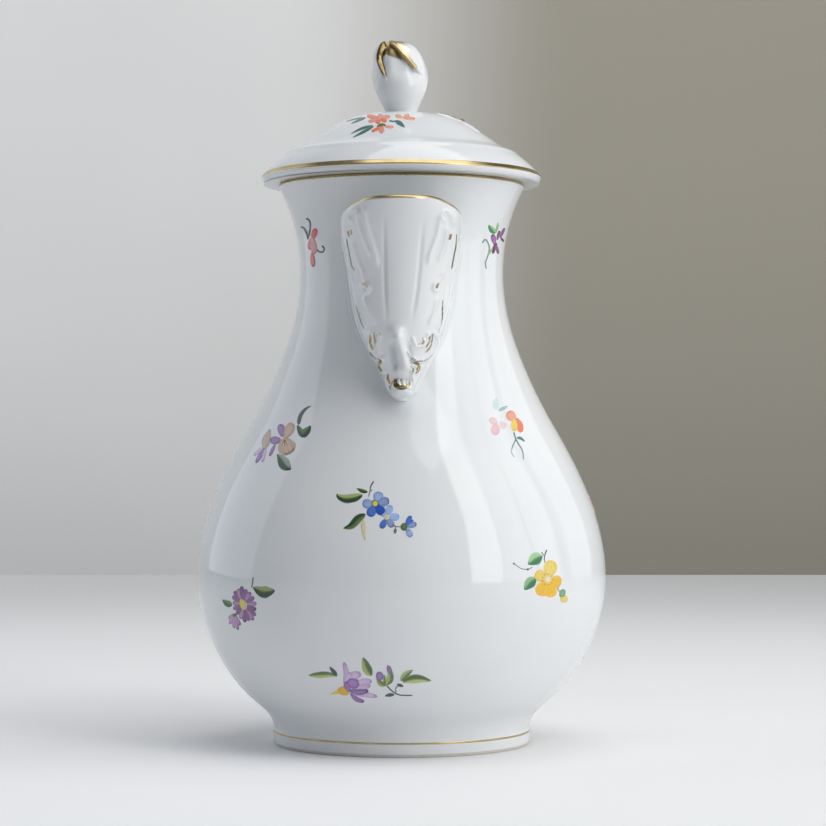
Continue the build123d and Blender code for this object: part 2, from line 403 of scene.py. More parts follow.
def porcelain(name, moulded=False):
    """Glazed white porcelain; where moulded, masks gild it, pool the glaze in its recesses and paint
    shade on glaze and gold.
    """
    finish = Finish(name)
    cloud = finish.noise(GLAZE_CLOUD_SCALE, 2.0)
    colour = finish.ramp(cloud, (0.35, GLAZE_SHADE), (0.65, GLAZE_WHITE))
    roughness = finish.spread(finish.noise(GLAZE_SPECKLE_SCALE, 4.0), to=(0.05, 0.13))
    if moulded:
        pooled_glaze_and_shade, gilt = finish.attribute("pooled_glaze_and_shade"), finish.attribute("gilt")
        # the pooled-glaze mask is also painted shade: it greys the glaze and turns the gold dark
        # brown
        colour = finish.mix(pooled_glaze_and_shade, colour, POOLED_AND_SHADED_GLAZE)
        colour = finish.mix(gilt, colour, finish.mix(pooled_glaze_and_shade, finish.gold(), GOLD_SHADED))
        roughness = finish.mix(gilt, roughness, 0.30, kind="FLOAT")
        finish.put(gilt, finish.shader.inputs["Metallic"])
    finish.shade(colour, roughness)
    finish.bump(finish.noise(GLAZE_WAVE_SCALE, 1.0), 0.30, 0.0010)
    return finish.material


def gilding(name):
    finish = Finish(name)
    finish.put(1.0, finish.shader.inputs["Metallic"])
    grain = finish.noise(GOLD_GRAIN_SCALE)
    finish.shade(finish.gold(), finish.spread(grain, to=(0.20, 0.30)))
    finish.bump(grain, 0.08)
    return finish.material


def biscuit(name):
    """Unglazed porcelain: dry, faintly warm and finely grained."""
    finish = Finish(name)
    grain = finish.noise(BISCUIT_GRAIN_SCALE, 5.0)
    finish.shade(finish.ramp(grain, (0.3, BISCUIT_SHADE), (0.7, BISCUIT)), 0.62)
    finish.bump(grain, 0.4)
    return finish.material


def enamel(name):
    """Overglaze enamel: painted colours with brush streaks, a little less glossy than the glaze."""
    finish = Finish(name)
    streaks = finish.noise(BRUSH_SCALE, 3.0, 0.6)
    depth = finish.ramp(streaks, (0.30, STREAK), (0.70, WHITE))
    paint = finish.attribute("paint", "Color")
    finish.shade(finish.mix(1.0, paint, depth, blend="MULTIPLY"), 0.18)
    finish.bump(streaks, 0.10)
    return finish.material


PORCELAIN = porcelain("glazed_porcelain")
MOULDED = porcelain("moulded_porcelain", moulded=True)
GOLD = gilding("gilding")
BARE = biscuit("bare_porcelain")
PAINT = enamel("overglaze_enamel")


def moulded(name, points, faces, gilt, pooled_glaze_and_shade, *nodes, body="pot", slot="glazed_porcelain"):
    """A piece of moulded porcelain in the place of some CAD nodes, with its masks."""
    mesh_object(name, points, faces, body, MOULDED, replaces=nodes,
                masks={"gilt": gilt, "pooled_glaze_and_shade": pooled_glaze_and_shade})


for node, material in (("pot_body", PORCELAIN), ("lid_flange", BARE)):
    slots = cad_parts[node].data.materials
    slots.clear()
    slots.append(material)


# --- the lid: a turned dome with a moulded bead and one rocaille crest
LID_BEAD_RADIUS, LID_BEAD_WIDTH, LID_BEAD_HEIGHT = 39.4, 0.95, 0.26
LID_GROOVE_RADIUS, LID_GROOVE_WIDTH, LID_GROOVE_DEPTH = 36.0, 1.3, 0.22
LID_COLUMNS, LID_STEP = 360, 0.45
MOULDED_FROM, MOULDED_DOWN_TO = (12.0, 14.0), 22.0      # radii, and how far below the lid's top
CREST_ANGLE = math.radians(72)
CREST_RADIUS = 13.0         # of the crest's foot
CREST_SIDE, CREST_BACK, CREST_LENGTH = 10, 3, 20        # the patch that holds the crest
# in millimetres across and along from the crest's foot towards the rim
CREST_STROKES = read_lines("""
-3.5,1 -5,4.5 -3,8 .5,8.5 1.5,6 -.5,4.8  .8 .62
3.5,1 5.6,4 4.2,8.6 2.8,11.5  .8 .55
0,0 .6,4 -.6,9 .8,14  .7 .45
-1,9 -3.6,11 -3,14.2 -.6,15  .7 .45
""")


def crest(r, angle):
    """The crest's height on the lid."""
    flat = np.c_[wrapped(angle - CREST_ANGLE) * r, r - CREST_RADIUS]
    across, along = flat.T
    near = (np.abs(across) < CREST_SIDE) & (along > -CREST_BACK) & (along < CREST_LENGTH)
    height = np.zeros(len(r))
    height[near] = strokes(flat[near], CREST_STROKES)
    return height


lid_section = rounded_section(section_of("lid"), LID_STEP)
lid_rim = int(np.argmax(lid_section[:, 0]))
lid_top = lid_section[:, 1].max()
lid_r = np.repeat(lid_section[:, 0], LID_COLUMNS)
lid_is_outer = np.arange(len(lid_r)) < lid_rim * LID_COLUMNS


def lid_relief(r, z, angle):
    on_top = smoothstep(*MOULDED_FROM, r) * (z > lid_top - MOULDED_DOWN_TO)
    bead = LID_BEAD_HEIGHT * bell(r - LID_BEAD_RADIUS, LID_BEAD_WIDTH)
    groove = LID_GROOVE_DEPTH * bell(r - LID_GROOVE_RADIUS, LID_GROOVE_WIDTH)
    return (bead - groove + crest(r, angle)) * on_top * lid_is_outer


lid_points, lid_faces, lid_angles = turned(lid_section, LID_COLUMNS, lid_relief)
lid_gilt = 0.9 * smoothstep(0.42, 0.56, crest(lid_r, lid_angles) * lid_is_outer)
# pooled glaze and painted shade in the groove
lid_pool_and_shade = 0.25 * bell(lid_r - LID_GROOVE_RADIUS, 1.2)
moulded("lid_dome", lid_points, lid_faces, lid_gilt, lid_pool_and_shade, "lid", body="lid")

# --- the foot ring: a turned ring, glazed outside and dry where it stands
DRY_HEIGHT = 0.9
FOOT_COLUMNS, FOOT_STEP = 300, 0.35
foot_section = section_of("foot_ring")
foot_section = rounded_section(np.vstack([foot_section, foot_section[:1]]), FOOT_STEP)
foot_points, foot_faces, _angles = turned(foot_section, FOOT_COLUMNS)
foot = mesh_object("foot", foot_points, foot_faces, "pot", PORCELAIN,
                   replaces=["foot_ring"])
foot.data.materials.append(BARE)
for polygon in foot.data.polygons:
    polygon.material_index = int(polygon.center.z < DRY_HEIGHT * MM)

# --- gilded lines around the pot
RIM_BAND = (191.40, 194.85)         # heights of the band on the lid's roll
MOUTH_BAND_FROM, MOUTH_BAND_RADIUS = 189.95, 41.0       # the mouth's edge is gilded beyond these
FOOT_BAND = (4.25, 4.95)
BAND_STEP = 0.12
JOIN_RADIUS = 1.6           # of the fillet of slip where the beak and the handle meet the pot

lid_roll = rounded_section(lid_section[: lid_rim + 6], BAND_STEP)
on_roll = (lid_roll[:, 1] >= RIM_BAND[0]) & (lid_roll[:, 1] <= RIM_BAND[1])
band("lid_band", lid_roll[on_roll & (lid_roll[:, 0] > 0.6 * lid_roll[:, 0].max())], "lid")
pot_section = section_of("pot_body")
pot_upper = pot_section[: int(np.argmax(pot_section[:, 0]))]
mouth_start = int(np.argmax(pot_upper[:, 1]))
mouth = rounded_section(pot_upper[mouth_start:], BAND_STEP)
on_mouth = (mouth[:, 1] >= MOUTH_BAND_FROM) & (mouth[:, 0] > MOUTH_BAND_RADIUS)
band("mouth_band", mouth[on_mouth], "pot")
band("foot_line", np.c_[np.full(9, foot_section[:, 0].max()), np.linspace(*FOOT_BAND, 9)], "pot")
pot_wall = pot_section[mouth_start:]
pot_wall = pot_wall[: int(np.argmin(pot_wall[:, 1])) + 1]       # the outside, from the mouth down


def pot_radius(height):
    """The pot's outside radius at a height, in millimetres."""
    return np.interp(height, pot_wall[::-1, 1], pot_wall[::-1, 0])


def joining(points):
    """How far points stand off the pot, how near it they are, and the joining fillet's rise."""
    off_pot = np.hypot(points[:, 0], points[:, 1]) - pot_radius(points[:, 2])
    near = np.clip(JOIN_RADIUS - off_pot, 0.0, JOIN_RADIUS)
    return off_pot, near, JOIN_RADIUS - np.sqrt(JOIN_RADIUS**2 - near**2)

# --- the beak spout: measured from its CAD solid, with moulded relief drawn in the camera's view
BEAK_COLUMNS, BEAK_ROWS = 281, 170
BEAK_SHARES = np.linspace(-1, 1, BEAK_COLUMNS)      # from one cheek's root to the other's
NOSE_SHARE = 0.66           # shares beyond it, on either side, lie on a cheek
LIP_FALL = math.tan(math.radians(10.5))
LIP_THICKNESS, LIP_HALF_HEIGHT, LIP_ROWS = 2.3, 1.15, 10
BEAK_WALL = 2.8             # its thickness, below the lip
CHANNEL_FLOOR = 141.0       # its height
BEAK_DEPTH = 1.45           # how strongly all of the beak's relief stands out
KNOB, KNOB_RADIUS, KNOB_HEIGHT = (396.5, 333.0), 7.5, 1.15
# points in the photograph's pixels, width in pixels, height or depth in millimetres
BEAK_RIDGES = read_lines("""
364,206 366,222 371,240 376,256 377.5,268  2.2 .6
357,211 360,226 366,243 372,258  1.9 .45
352,224 349,215 354,209 359,212 357,219  1.6 .45
345,236 349,262 354,288 359,312 366,334  1.6 .4
352,240 358,258 364,274 366,284  2 .4
360,288 366,283 370,287 367,293 362,291  1.6 .45
364,296 370,312 375,326  1.9 .4
453,228 450,215 444,211 441,218 446,222  1.6 .4
447,226 444,246 438,262  2.1 .45
440,214 437,234 430,254 428,266  2.2 .45
457,236 453,262 448,290 442,316 435,336  1.6 .4
443,270 440,280 434,284 434,290 439,291  1.6 .45
438,296 434,312 428,326  1.9 .4
397.5,334 400.5,348 403.5,360 405.5,372  5 1.25
372,330 369.5,342 372.5,354 380,359.5 386,357  2 .5
381,333 378,345 380,355  2.6 .45
433,330 437,341 431,354 420,361 410,357 405,349  2.3 .5
412,337 416,346 423,345.5 424,338  1.7 .4
427,331 430,341 426,350  2 .35
380,360 381.5,368 386,374  2.6 .65
419,360 417,368 411,374.5  2.9 .65
388,374 386.8,381 389.5,389 396,394  2 .55
411,374 412.6,381 410,389 403.5,394  2 .55
""")
BEAK_GROOVES = read_lines("""
384,214 384.5,250 385,290 387,326  1.8 .35
424,216 421,250 417,290 411,326  2 .3
391,340 393,356 396.5,373  3.8 .9
407.5,342 411,356 411.5,369  1.7 .45
371,357 378,363 385,361  1.2 .45
405,355 419,365 433,356  1.4 .45
375,336 374,350  .9 .3
427,336 433,345  .9 .3
""")
BEAK_GILT = read_lines("""
347.5,231 349.5,237  1.2
351,230 351.8,235  .9
361,283 366,284.5 368.5,288  1.1
371.4,335 371.2,343 373.6,351  .8
374.2,332 374.6,346  .7
377,334 376.9,343  .6
381.8,359 380.9,366 384.4,372.6  1.1
451,234 449.5,240  1.4
438,283.5 436,289  1.2
422.6,337 423.2,341 420.8,344.6 416.8,343.6  .6
432.4,333 431,343 426.4,351.6  .9
429.6,335 428.6,342 424.6,348.6  .6
431.8,343 428.6,350 423.8,352.8  .5
413.6,361.6 418.2,366 417.8,370.4 413,374.2  1.3
410.6,366 412.6,369.6 411.4,372.6  .6
415.6,363.5 416.4,367 414.6,371  .8
388.6,374.5 389,380 391,385  .8
389.6,385 393.5,390 400,392 406.6,389.6 410.6,383  .8
""")
BEAK_THIN_LINES = read_lines("""
346.5,237 349.5,252 352,266 356,272  .42
357,305 361,318 365,330  .42
457,233 454,250 450.5,270  .42
443,299 441,318 438,334  .42
371.5,352 376,357.5 382,360  .48
405,350 411,358 420,361.5 430,356 437,347  .48
""")
# in millimetres along the cheek from the nose to the pot, and upwards
CHEEK_SCROLLS = read_lines("""
5,172 8,165 9,157 6,152 3.5,155 5,158.5  .9 .45
10,170 12,160 10,150 5,144  .9 .5
6,147 11,143 14,148 12,153 9.5,150.5  .8 .45
2,146 5,138 10,134  .9 .45
17,168 18,158 16,150  .8 .35
""")

beak_tree = tree_of("spout")
beak_low, beak_high = box_of("spout")


def beak_outline(height):
    """Half width and reach of the beak at a height."""
    side = [cast(beak_tree, (80, y, height), (-1, 0, 0)) for y in np.linspace(-70, -36, 35)]
    half = max([p[0] for p in side if p is not None], default=0.0)
    nose = cast(beak_tree, (0, -120, height), (0, 1, 0))
    return half, -nose[1]


def beak_point(share, height, half, reach):
    """A point on the beak's outside at one of its shares, and which way is out there."""
    nose_length = 1.22 * half
    middle = np.array([0.0, -(reach - nose_length), height])
    side = math.copysign(1.0, share)
    if abs(share) <= NOSE_SHARE:
        turn = share / NOSE_SHARE * math.pi / 2
        toward = np.array([math.sin(turn), -math.cos(turn), 0.0])
        hit = cast(beak_tree, middle + 90 * toward, -toward)
        return (middle if hit is None else hit), toward
    root = -math.sqrt(max(pot_radius(height) ** 2 - half**2, 0.0)) + 0.9
    along = (abs(share) - NOSE_SHARE) / (1 - NOSE_SHARE)
    y = middle[1] + along * (root - middle[1])
    hit = cast(beak_tree, (side * 80, y, height), (-side, 0, 0))
    if hit is None or abs(hit[0]) < 0.5 * half:
        hit = np.array([side * half, y, height])
    return hit, np.array([side, 0.0, 0.0])


def beak_outside():
    """The beak's outside from foot to lip, which way is out there, and the lip's heights."""
    levels = np.linspace(beak_low[2] + 0.15, beak_high[2] - 0.6, 60)
    halves, reaches = np.array([beak_outline(z) for z in levels]).T

    def point_at(share, z):
        return beak_point(share, z, np.interp(z, levels, halves), np.interp(z, levels, reaches))

    lip_heights = np.full(BEAK_COLUMNS, beak_high[2] - 3.0)
    for _ in range(4):
        for k, share in enumerate(BEAK_SHARES):
            point, _side = point_at(share, min(lip_heights[k], beak_high[2] - 0.7))
            lip_heights[k] = beak_high[2] - LIP_FALL * (point[1] - beak_low[1]) - 0.25
        lip_heights = smoothed(lip_heights, 25)
    outer, normal = np.zeros((2, BEAK_ROWS, BEAK_COLUMNS, 3))
    for row, part in enumerate(np.linspace(0, 1, BEAK_ROWS) ** 1.15):
        for k, share in enumerate(BEAK_SHARES):
            z = levels[0] + part * (lip_heights[k] - LIP_HALF_HEIGHT - levels[0])
            outer[row, k], normal[row, k] = point_at(share, z)
    return outer, normal, lip_heights


def beak_relief(seen, front):
    """Moulded relief and the depth of its grooves; front fades them on the cheeks."""
    sunk = strokes(seen, BEAK_GROOVES, 0.3, 0.3)
    knob = KNOB_HEIGHT * bell(np.hypot(*(seen - KNOB).T), KNOB_RADIUS)
    return BEAK_DEPTH * (strokes(seen, BEAK_RIDGES) - sunk + knob) * front, sunk * front


def beak_gilding(seen, front):
    """Where the beak's relief is gilded, and where that gilding is thin and darkened with painted
    shade.
    """
    mask = highest(*(stroke(seen, *row, 1.2, 0.1, 0.2) for row in BEAK_GILT))
    dark = highest(*(stroke(seen, *row, 1.1, 0.1, 0.1) for row in BEAK_THIN_LINES))
    comb = 0.5 + 0.5 * np.cos(seen[:, 0] * 3.1 + seen[:, 1] * 0.9)
    # painted shade: the thin lines and stripes across the gilding go dark brown
    gold_shade = np.maximum(smoothstep(0.3, 0.6, dark), 0.75 * comb * smoothstep(0.3, 0.6, mask))
    return smoothstep(0.35, 0.75, np.maximum(mask, 0.85 * dark)) * front, gold_shade * front


def channel_rows(outer, normal):
    """The beak's inside: its wall from the lip down, and the floor where it opens into the pot."""
    rows = []
    for row in range(BEAK_ROWS - 2, 0, -2):
        inside = outer[row] - normal[row] * BEAK_WALL
        tight = smoothstep(0, 14, (BEAK_ROWS - 2) - row)
        inside = inside + normal[row] * (BEAK_WALL - LIP_THICKNESS) * (1 - tight)
        if inside[BEAK_COLUMNS // 2, 2] < CHANNEL_FLOOR:
            break
        rows.append(inside)
    bowl, bottom = rows[-1], CHANNEL_FLOOR - 3.0
    centre = np.array([0.0, 1.0 - pot_radius(bottom), bottom])
    for share in (0.25, 0.5, 0.75, 1.0):
        sunk_row = bowl + (centre - bowl) * share
        sunk_row[:, 2] = bowl[:, 2] + (bottom - bowl[:, 2]) * math.sin(share * math.pi / 2)
        rows.append(sunk_row)
    return rows


def beak():
    outer, normal, lip_heights = beak_outside()
    points, sides = outer.reshape(-1, 3), normal.reshape(-1, 3)
    seen = pixels_of(points)
    spread = np.abs(np.tile(BEAK_SHARES, BEAK_ROWS))
    front = 1 - smoothstep(0.62, 0.74, spread)
    below_lip = np.tile(lip_heights, BEAK_ROWS) - points[:, 2]
    above_foot = points[:, 2] - beak_low[2]
    calm = smoothstep(0.8, 3.5, below_lip) * smoothstep(0.4, 2.5, above_foot)
    relief, sunk = beak_relief(seen, front * calm)
    gilt, gold_shade = beak_gilding(seen, front)
    cheek = spread > 0.6
    nose_y = outer[:, np.argmin(np.abs(BEAK_SHARES - NOSE_SHARE)), 1]
    cheek_flat = np.c_[points[:, 1] - np.repeat(nose_y, BEAK_COLUMNS), points[:, 2]]
    scrolls = np.zeros(len(points))
    scrolls[cheek] = strokes(cheek_flat[cheek], CHEEK_SCROLLS)
    relief = relief + scrolls * (1 - front) * calm
    off_pot, near, fillet = joining(points)
    fillet *= smoothstep(0.0, 4.0, above_foot) * smoothstep(0.0, 9.0, below_lip)
    relief = relief * smoothstep(0.0, 2.5, off_pot)
    raised = (points + sides * (relief + fillet)[:, None]).reshape(outer.shape)

    lip_rows = []
    for turn in np.linspace(0, math.pi, LIP_ROWS + 1)[1:]:
        out = normal[-1] * (LIP_THICKNESS / 2) * (math.cos(turn) - 1)
        lip_rows.append(raised[-1] + out + np.array([0, 0, LIP_HALF_HEIGHT * math.sin(turn)]))
    rows = np.vstack([raised, lip_rows, channel_rows(outer, normal)])
    faces = grid_faces(len(rows), BEAK_COLUMNS)
    faces.append(tuple(range(BEAK_COLUMNS))[::-1])

    gilt_rows, pool_and_shade_rows = np.zeros((2, len(rows), BEAK_COLUMNS))
    lip_edge = smoothstep(0.9, 0.5, lip_heights - raised[..., 2] - 0.35)
    gilt_rows[:BEAK_ROWS] = np.maximum(gilt.reshape(BEAK_ROWS, -1), lip_edge)
    gilt_rows[BEAK_ROWS : BEAK_ROWS + LIP_ROWS - 1] = 1.0
    # pooled glaze and painted shade darken the grooves and the join with the pot
    pooled_and_shaded = np.clip(0.55 * sunk / 0.5 + 0.30 * near / JOIN_RADIUS, 0, 0.7)
    pool_and_shade_rows[:BEAK_ROWS] = np.maximum(pooled_and_shaded, gold_shade).reshape(BEAK_ROWS, -1)
    # painted shade inside the channel
    pool_and_shade_rows[BEAK_ROWS + LIP_ROWS :] = 0.25
    moulded("beak", rows.reshape(-1, 3), faces, gilt_rows, pool_and_shade_rows, "spout")


beak()

# --- the fluted scroll that closes the beak's rib
DROP_ACROSS, DROP_AROUND = 97, 120
DROP_SHIFT = np.array([0.0, -0.45, 0.35])
DROP_STRETCH = np.array([1.22, 1.0, 1.0])


def rolled_drop():
    """A small shell: flutes fan down into a gilded fold, with a white rim rolled out below it."""
    low, high = box_of("spout_scroll")
    centre = (low + high) / 2 + DROP_SHIFT
    half = (high - low) / 2 * DROP_STRETCH
    x = np.repeat(np.linspace(-1, 1, DROP_ACROSS), DROP_AROUND)
    turn = np.tile(circle(DROP_AROUND), DROP_ACROSS)
    lift, outward = np.sin(turn), np.cos(turn)
    end = np.sqrt(np.maximum(1 - np.abs(x) ** 2.6, 0.0))
    fan = 0.5 + 0.5 * np.cos(x * math.pi * 4.5 + 0.6)
    upper = smoothstep(0.12, 0.5, lift)
    fold = bell(lift + 0.06 + 0.22 * x * x, 0.13)
    r = 1 - 0.10 * fan * upper - 0.13 * fold
    points = centre + np.c_[
        x * half[0] * (0.97 + 0.03 * outward),
        -outward * half[1] * end * r,
        lift * half[2] * (0.55 + 0.45 * end) * np.minimum(r + 0.02, 1.0),
    ]
    below = smoothstep(0.82, 0.74, np.hypot(x * 0.92, lift - 0.62))
    cup = smoothstep(0.46, 0.56, np.hypot((x - 0.14) * 0.9, lift - 0.80))
    comb = smoothstep(0.35, 0.75, fan) * smoothstep(0.25, 0.55, lift) * smoothstep(0.1, -0.2, x)
    gilt = np.maximum(below * cup, comb) * smoothstep(-0.1, 0.2, outward)
    # painted shade: darker on the left and underneath, in the fold and in the flutes' troughs
    shade = smoothstep(0.15, -0.5, x) * 0.55 + smoothstep(0.10, -0.10, lift) * 0.3
    pooled_glaze_and_shade = np.minimum(0.6 * fold + 0.4 * fan * upper + shade * below * cup, 0.85)
    faces = grid_faces(DROP_ACROSS, DROP_AROUND, wrap=True)
    moulded("beak_scroll", points, faces, gilt, pooled_glaze_and_shade, "spout_scroll", slot="gilding")


rolled_drop()

# --- the bud on the lid: overlapping petals with gilded edges
BUD_AROUND, BUD_RINGS = 300, 150
# share of the height, share of the widest radius
BUD_PROFILE = [
    (0.000, 0.575), (0.045, 0.590), (0.083, 0.622), (0.138, 0.695), (0.249, 0.858),
    (0.344, 0.946), (0.478, 1.000), (0.613, 0.985), (0.723, 0.936), (0.820, 0.870),
    (0.895, 0.775), (0.945, 0.640), (0.975, 0.480), (0.993, 0.260), (1.000, 0.000),
]
# share of the height, how far the bud's middle stands to the left in millimetres
BUD_LEAN = [(0.0, 0.0), (0.25, 0.22), (0.48, 0.5), (0.72, 0.95), (0.91, 1.95), (1.0, 2.6)]
# the front petal's two folded edges, in the photograph's pixels
LEFT_FOLD = [(385, 42), (381.4, 46), (378.6, 53), (378.2, 60), (380.6, 67.5), (384.6, 76)]
RIGHT_FOLD = [(391, 43), (394.6, 46.5), (399.5, 52), (405.5, 58), (411, 64), (415.5, 68.5)]
FOLD_DEPTH = 1.6
# rows between which things fade out or in, and columns, in the same pixels
FOLD_ROWS, FOLD_COLUMNS = (86.0, 66.0), (425.0, 414.0)
MIDDLE_COLUMN, MIDDLE_ROWS = 388.5, (44.0, 60.0)
RIM_ROWS, LEFT_GOLD_ROWS, RIGHT_GOLD_ROWS = (82.0, 62.0), (80.0, 70.0), (72.0, 64.0)
WASH_ROWS, WASH_WIDTHS = (42.0, 57.0, 68.0), (17.0, 8.5, 3.5)
WASH_FADE_ROWS, WASH_FROM_COLUMN = (72.0, 66.0), 383
THROAT_ROWS, THROAT_COLUMN = (57.5, 50.0), 386
# the other petals' edges: angle at the foot, at the tip and at the middle, in degrees
SEAMS = [(70, 128, 86), (-60, -150, -92), (182, 160, 190)]
GREATEST_RISE = 0.28        # that the bud's moulding may stand out


def signed_gap(seen, line, side):
    """Distance in pixels from a smooth line, positive on the given side of it."""
    line = curve_through(line, 60)
    gap = seen[:, None, :] - line[None, :, :]
    away = np.hypot(gap[..., 0], gap[..., 1])
    nearest = away.argmin(1)
    heading = np.gradient(line, axis=0)[nearest]
    offset = seen - line[nearest]
    cross = heading[:, 0] * offset[:, 1] - heading[:, 1] * offset[:, 0]
    return np.sign(cross) * side * away[np.arange(len(seen)), nearest]


def bud():
    low, high = box_of("finial_bud")
    widest = box_of("finial_petals")[1][0]
    share, radius = np.array(BUD_PROFILE).T
    profile = curve_through(np.c_[radius, share] * [widest, high[2] - low[2]] + [0, low[2]],
                            BUD_RINGS)
    profile[:, 0] = np.maximum(profile[:, 0], 0.0)
    profile[:, 1] = np.minimum(profile[:, 1], high[2])
    base, faces, angle = turned(profile, BUD_AROUND)
    angle = wrapped(angle)
    share = (base[:, 2] - low[2]) / (high[2] - low[2])
    lean = -np.interp(share, *np.array(BUD_LEAN).T)
    seen = pixels_of(base + np.c_[lean, np.zeros((len(base), 2))])
    column, row = seen.T
    front = (np.abs(angle) < math.radians(80)).astype(float)
    left = signed_gap(seen, LEFT_FOLD, -1.0)
    right = signed_gap(seen, RIGHT_FOLD, 1.0)

    # the front petal: its hollow between the folds, its rims, and the gold on its edges
    inside = smoothstep(-0.3, 1.1, left) * smoothstep(-0.3, 1.3, right)
    fade = smoothstep(*FOLD_ROWS, row) * smoothstep(*FOLD_COLUMNS, column)
    petal_middle = bell(column - MIDDLE_COLUMN, 7.0) * smoothstep(*MIDDLE_ROWS, row)
    depth = FOLD_DEPTH * inside * fade * (1 - 0.55 * petal_middle) * front
    rims = sum(0.30 * bell(gap + 1.2, 1.5) * (gap < 0.8) * front for gap in (left, right))
    rims = rims * smoothstep(*RIM_ROWS, row) * (1 - inside)
    out = rims - depth
    wash_width = np.interp(row, WASH_ROWS, WASH_WIDTHS)
    wash = smoothstep(-1.15, 0.15, right / wash_width) * (right < 1.0)
    wash = wash * smoothstep(*WASH_FADE_ROWS, row) * (column > WASH_FROM_COLUMN)
    throat = inside * smoothstep(*THROAT_ROWS, row - 0.25 * np.abs(column - THROAT_COLUMN))
    gold = front * highest(
        smoothstep(1.0, 0.5, np.abs(left - 0.4) / 2.2) * smoothstep(*LEFT_GOLD_ROWS, row),
        smoothstep(1.0, 0.4, np.abs(right + 0.8) / 1.9) * smoothstep(*RIGHT_GOLD_ROWS, row),
        0.85 * wash, 0.9 * throat,
    )
    # painted shade under the right fold, along the left fold's edge and in the throat
    pooled_glaze_and_shade = highest(
        0.75 * inside * fade * bell(right, 4.0) * front,
        0.85 * smoothstep(1.3, -0.2, left) * (left > -3) * front,
        0.5 * throat * front,
    )

    # the other petals: each steps down to the next along its seam
    radius = np.hypot(base[:, 0], base[:, 1])
    for foot, tip, middle in SEAMS:
        path = (np.radians(foot) * (1 - share) * (1 - 2 * share)
                + 4 * np.radians(middle) * share * (1 - share)
                + np.radians(tip) * share * (2 * share - 1))
        gap = wrapped(angle - path) * np.maximum(radius, 1.0) * (1 if tip > foot else -1)
        reach = smoothstep(0.12, 0.42, share) * smoothstep(1.0, 0.9, share)
        reach = reach * (1 - front * (np.abs(angle) < 1.2))
        step = smoothstep(-0.35, 0.35, gap) * np.exp(-np.maximum(gap, 0) / 3.5)
        out = out - 0.85 * step * reach + 0.22 * bell(gap + 0.6, 0.6) * reach
        gilt_edge = bell(gap + 0.25, 0.55) * reach * smoothstep(0.42, 0.7, share)
        gold = np.maximum(gold, gilt_edge)
        # painted shade along each seam
        pooled_glaze_and_shade = np.maximum(pooled_glaze_and_shade, 0.5 * bell(gap - 0.5, 0.6) * reach)

    outward = about_axis(-np.repeat(left_of(profile), BUD_AROUND, axis=0), angle)
    points = base + outward * np.minimum(out, GREATEST_RISE)[:, None]
    points[-BUD_AROUND:, :2] = 0.0
    points[:, 0] += lean
    points[-BUD_AROUND:, 2] = min(points[-2 * BUD_AROUND :, 2].max(), high[2])
    points[:, 2] = np.clip(points[:, 2], low[2] - 0.05, high[2])
    tip_gold = smoothstep(0.935, 0.98, share) * smoothstep(-1.2, 0.6, np.cos(angle))
    gilt = smoothstep(0.12, 0.80, np.maximum(gold, tip_gold))
    moulded("bud", points, faces, gilt, pooled_glaze_and_shade, "finial_bud", "finial_petals", body="lid")


bud()

# --- the handle: an ear with a moulded rib, leaves and small scrolls
EAR_CENTRE = np.array([0.0, 53.0, 141.0])
EAR_FIRST, EAR_LAST = math.radians(112), math.radians(-84)
HANDLE_ROWS, HANDLE_AROUND = 420, 112
ROOT_REACH = 4.0            # how far the ends of the centre line run on into the pot's wall
GREATEST_FLARE = 1.2
# first and last place along the handle in millimetres, greatest half angle, lobes
LEAVES = [(3.0, 40.0, 1.45, 6), (70.0, 104.0, 1.20, 5)]

handle_tree = tree_of("handle")


def felt_line():
    """The handle's centre line, felt with rays from the middle of its ear."""
    felt = []
    for turn in np.linspace(EAR_FIRST, EAR_LAST, 220):
        toward = np.array([0.0, math.cos(turn), math.sin(turn)])
        inner = cast(handle_tree, EAR_CENTRE, toward)
        beyond = cast(handle_tree, EAR_CENTRE + 90 * toward, -toward)
        if inner is not None and beyond is not None:
            felt.append((inner + beyond) / 2)
    first, last = felt[6] - felt[0], felt[-1] - felt[-7]
    return np.vstack([felt[0] - first / np.linalg.norm(first) * ROOT_REACH, felt,
                      felt[-1] + last / np.linalg.norm(last) * ROOT_REACH])


def handle_halves(along, centres, outward):
    """Half breadth across and half thickness along the handle, felt from outside."""
    across, thick = [], []
    for centre, out in zip(centres, outward):
        side = cast(handle_tree, centre + [40, 0, 0], (-1, 0, 0))
        top = cast(handle_tree, centre + 20 * out, -out)
        bottom = cast(handle_tree, centre - 12 * out, out)
        across.append(np.nan if side is None else abs(side[0]))
        half = np.nan if top is None or bottom is None else np.linalg.norm(top - bottom) / 2
        thick.append(half if half < 7 else np.nan)
    halves = []
    for values in (np.array(across), np.array(thick)):
        good = np.isfinite(values) & (along > 7.0) & (along < along[-1] - 8.0)
        halves.append(smoothed(np.interp(along, along[good], values[good]), 21))
    return halves


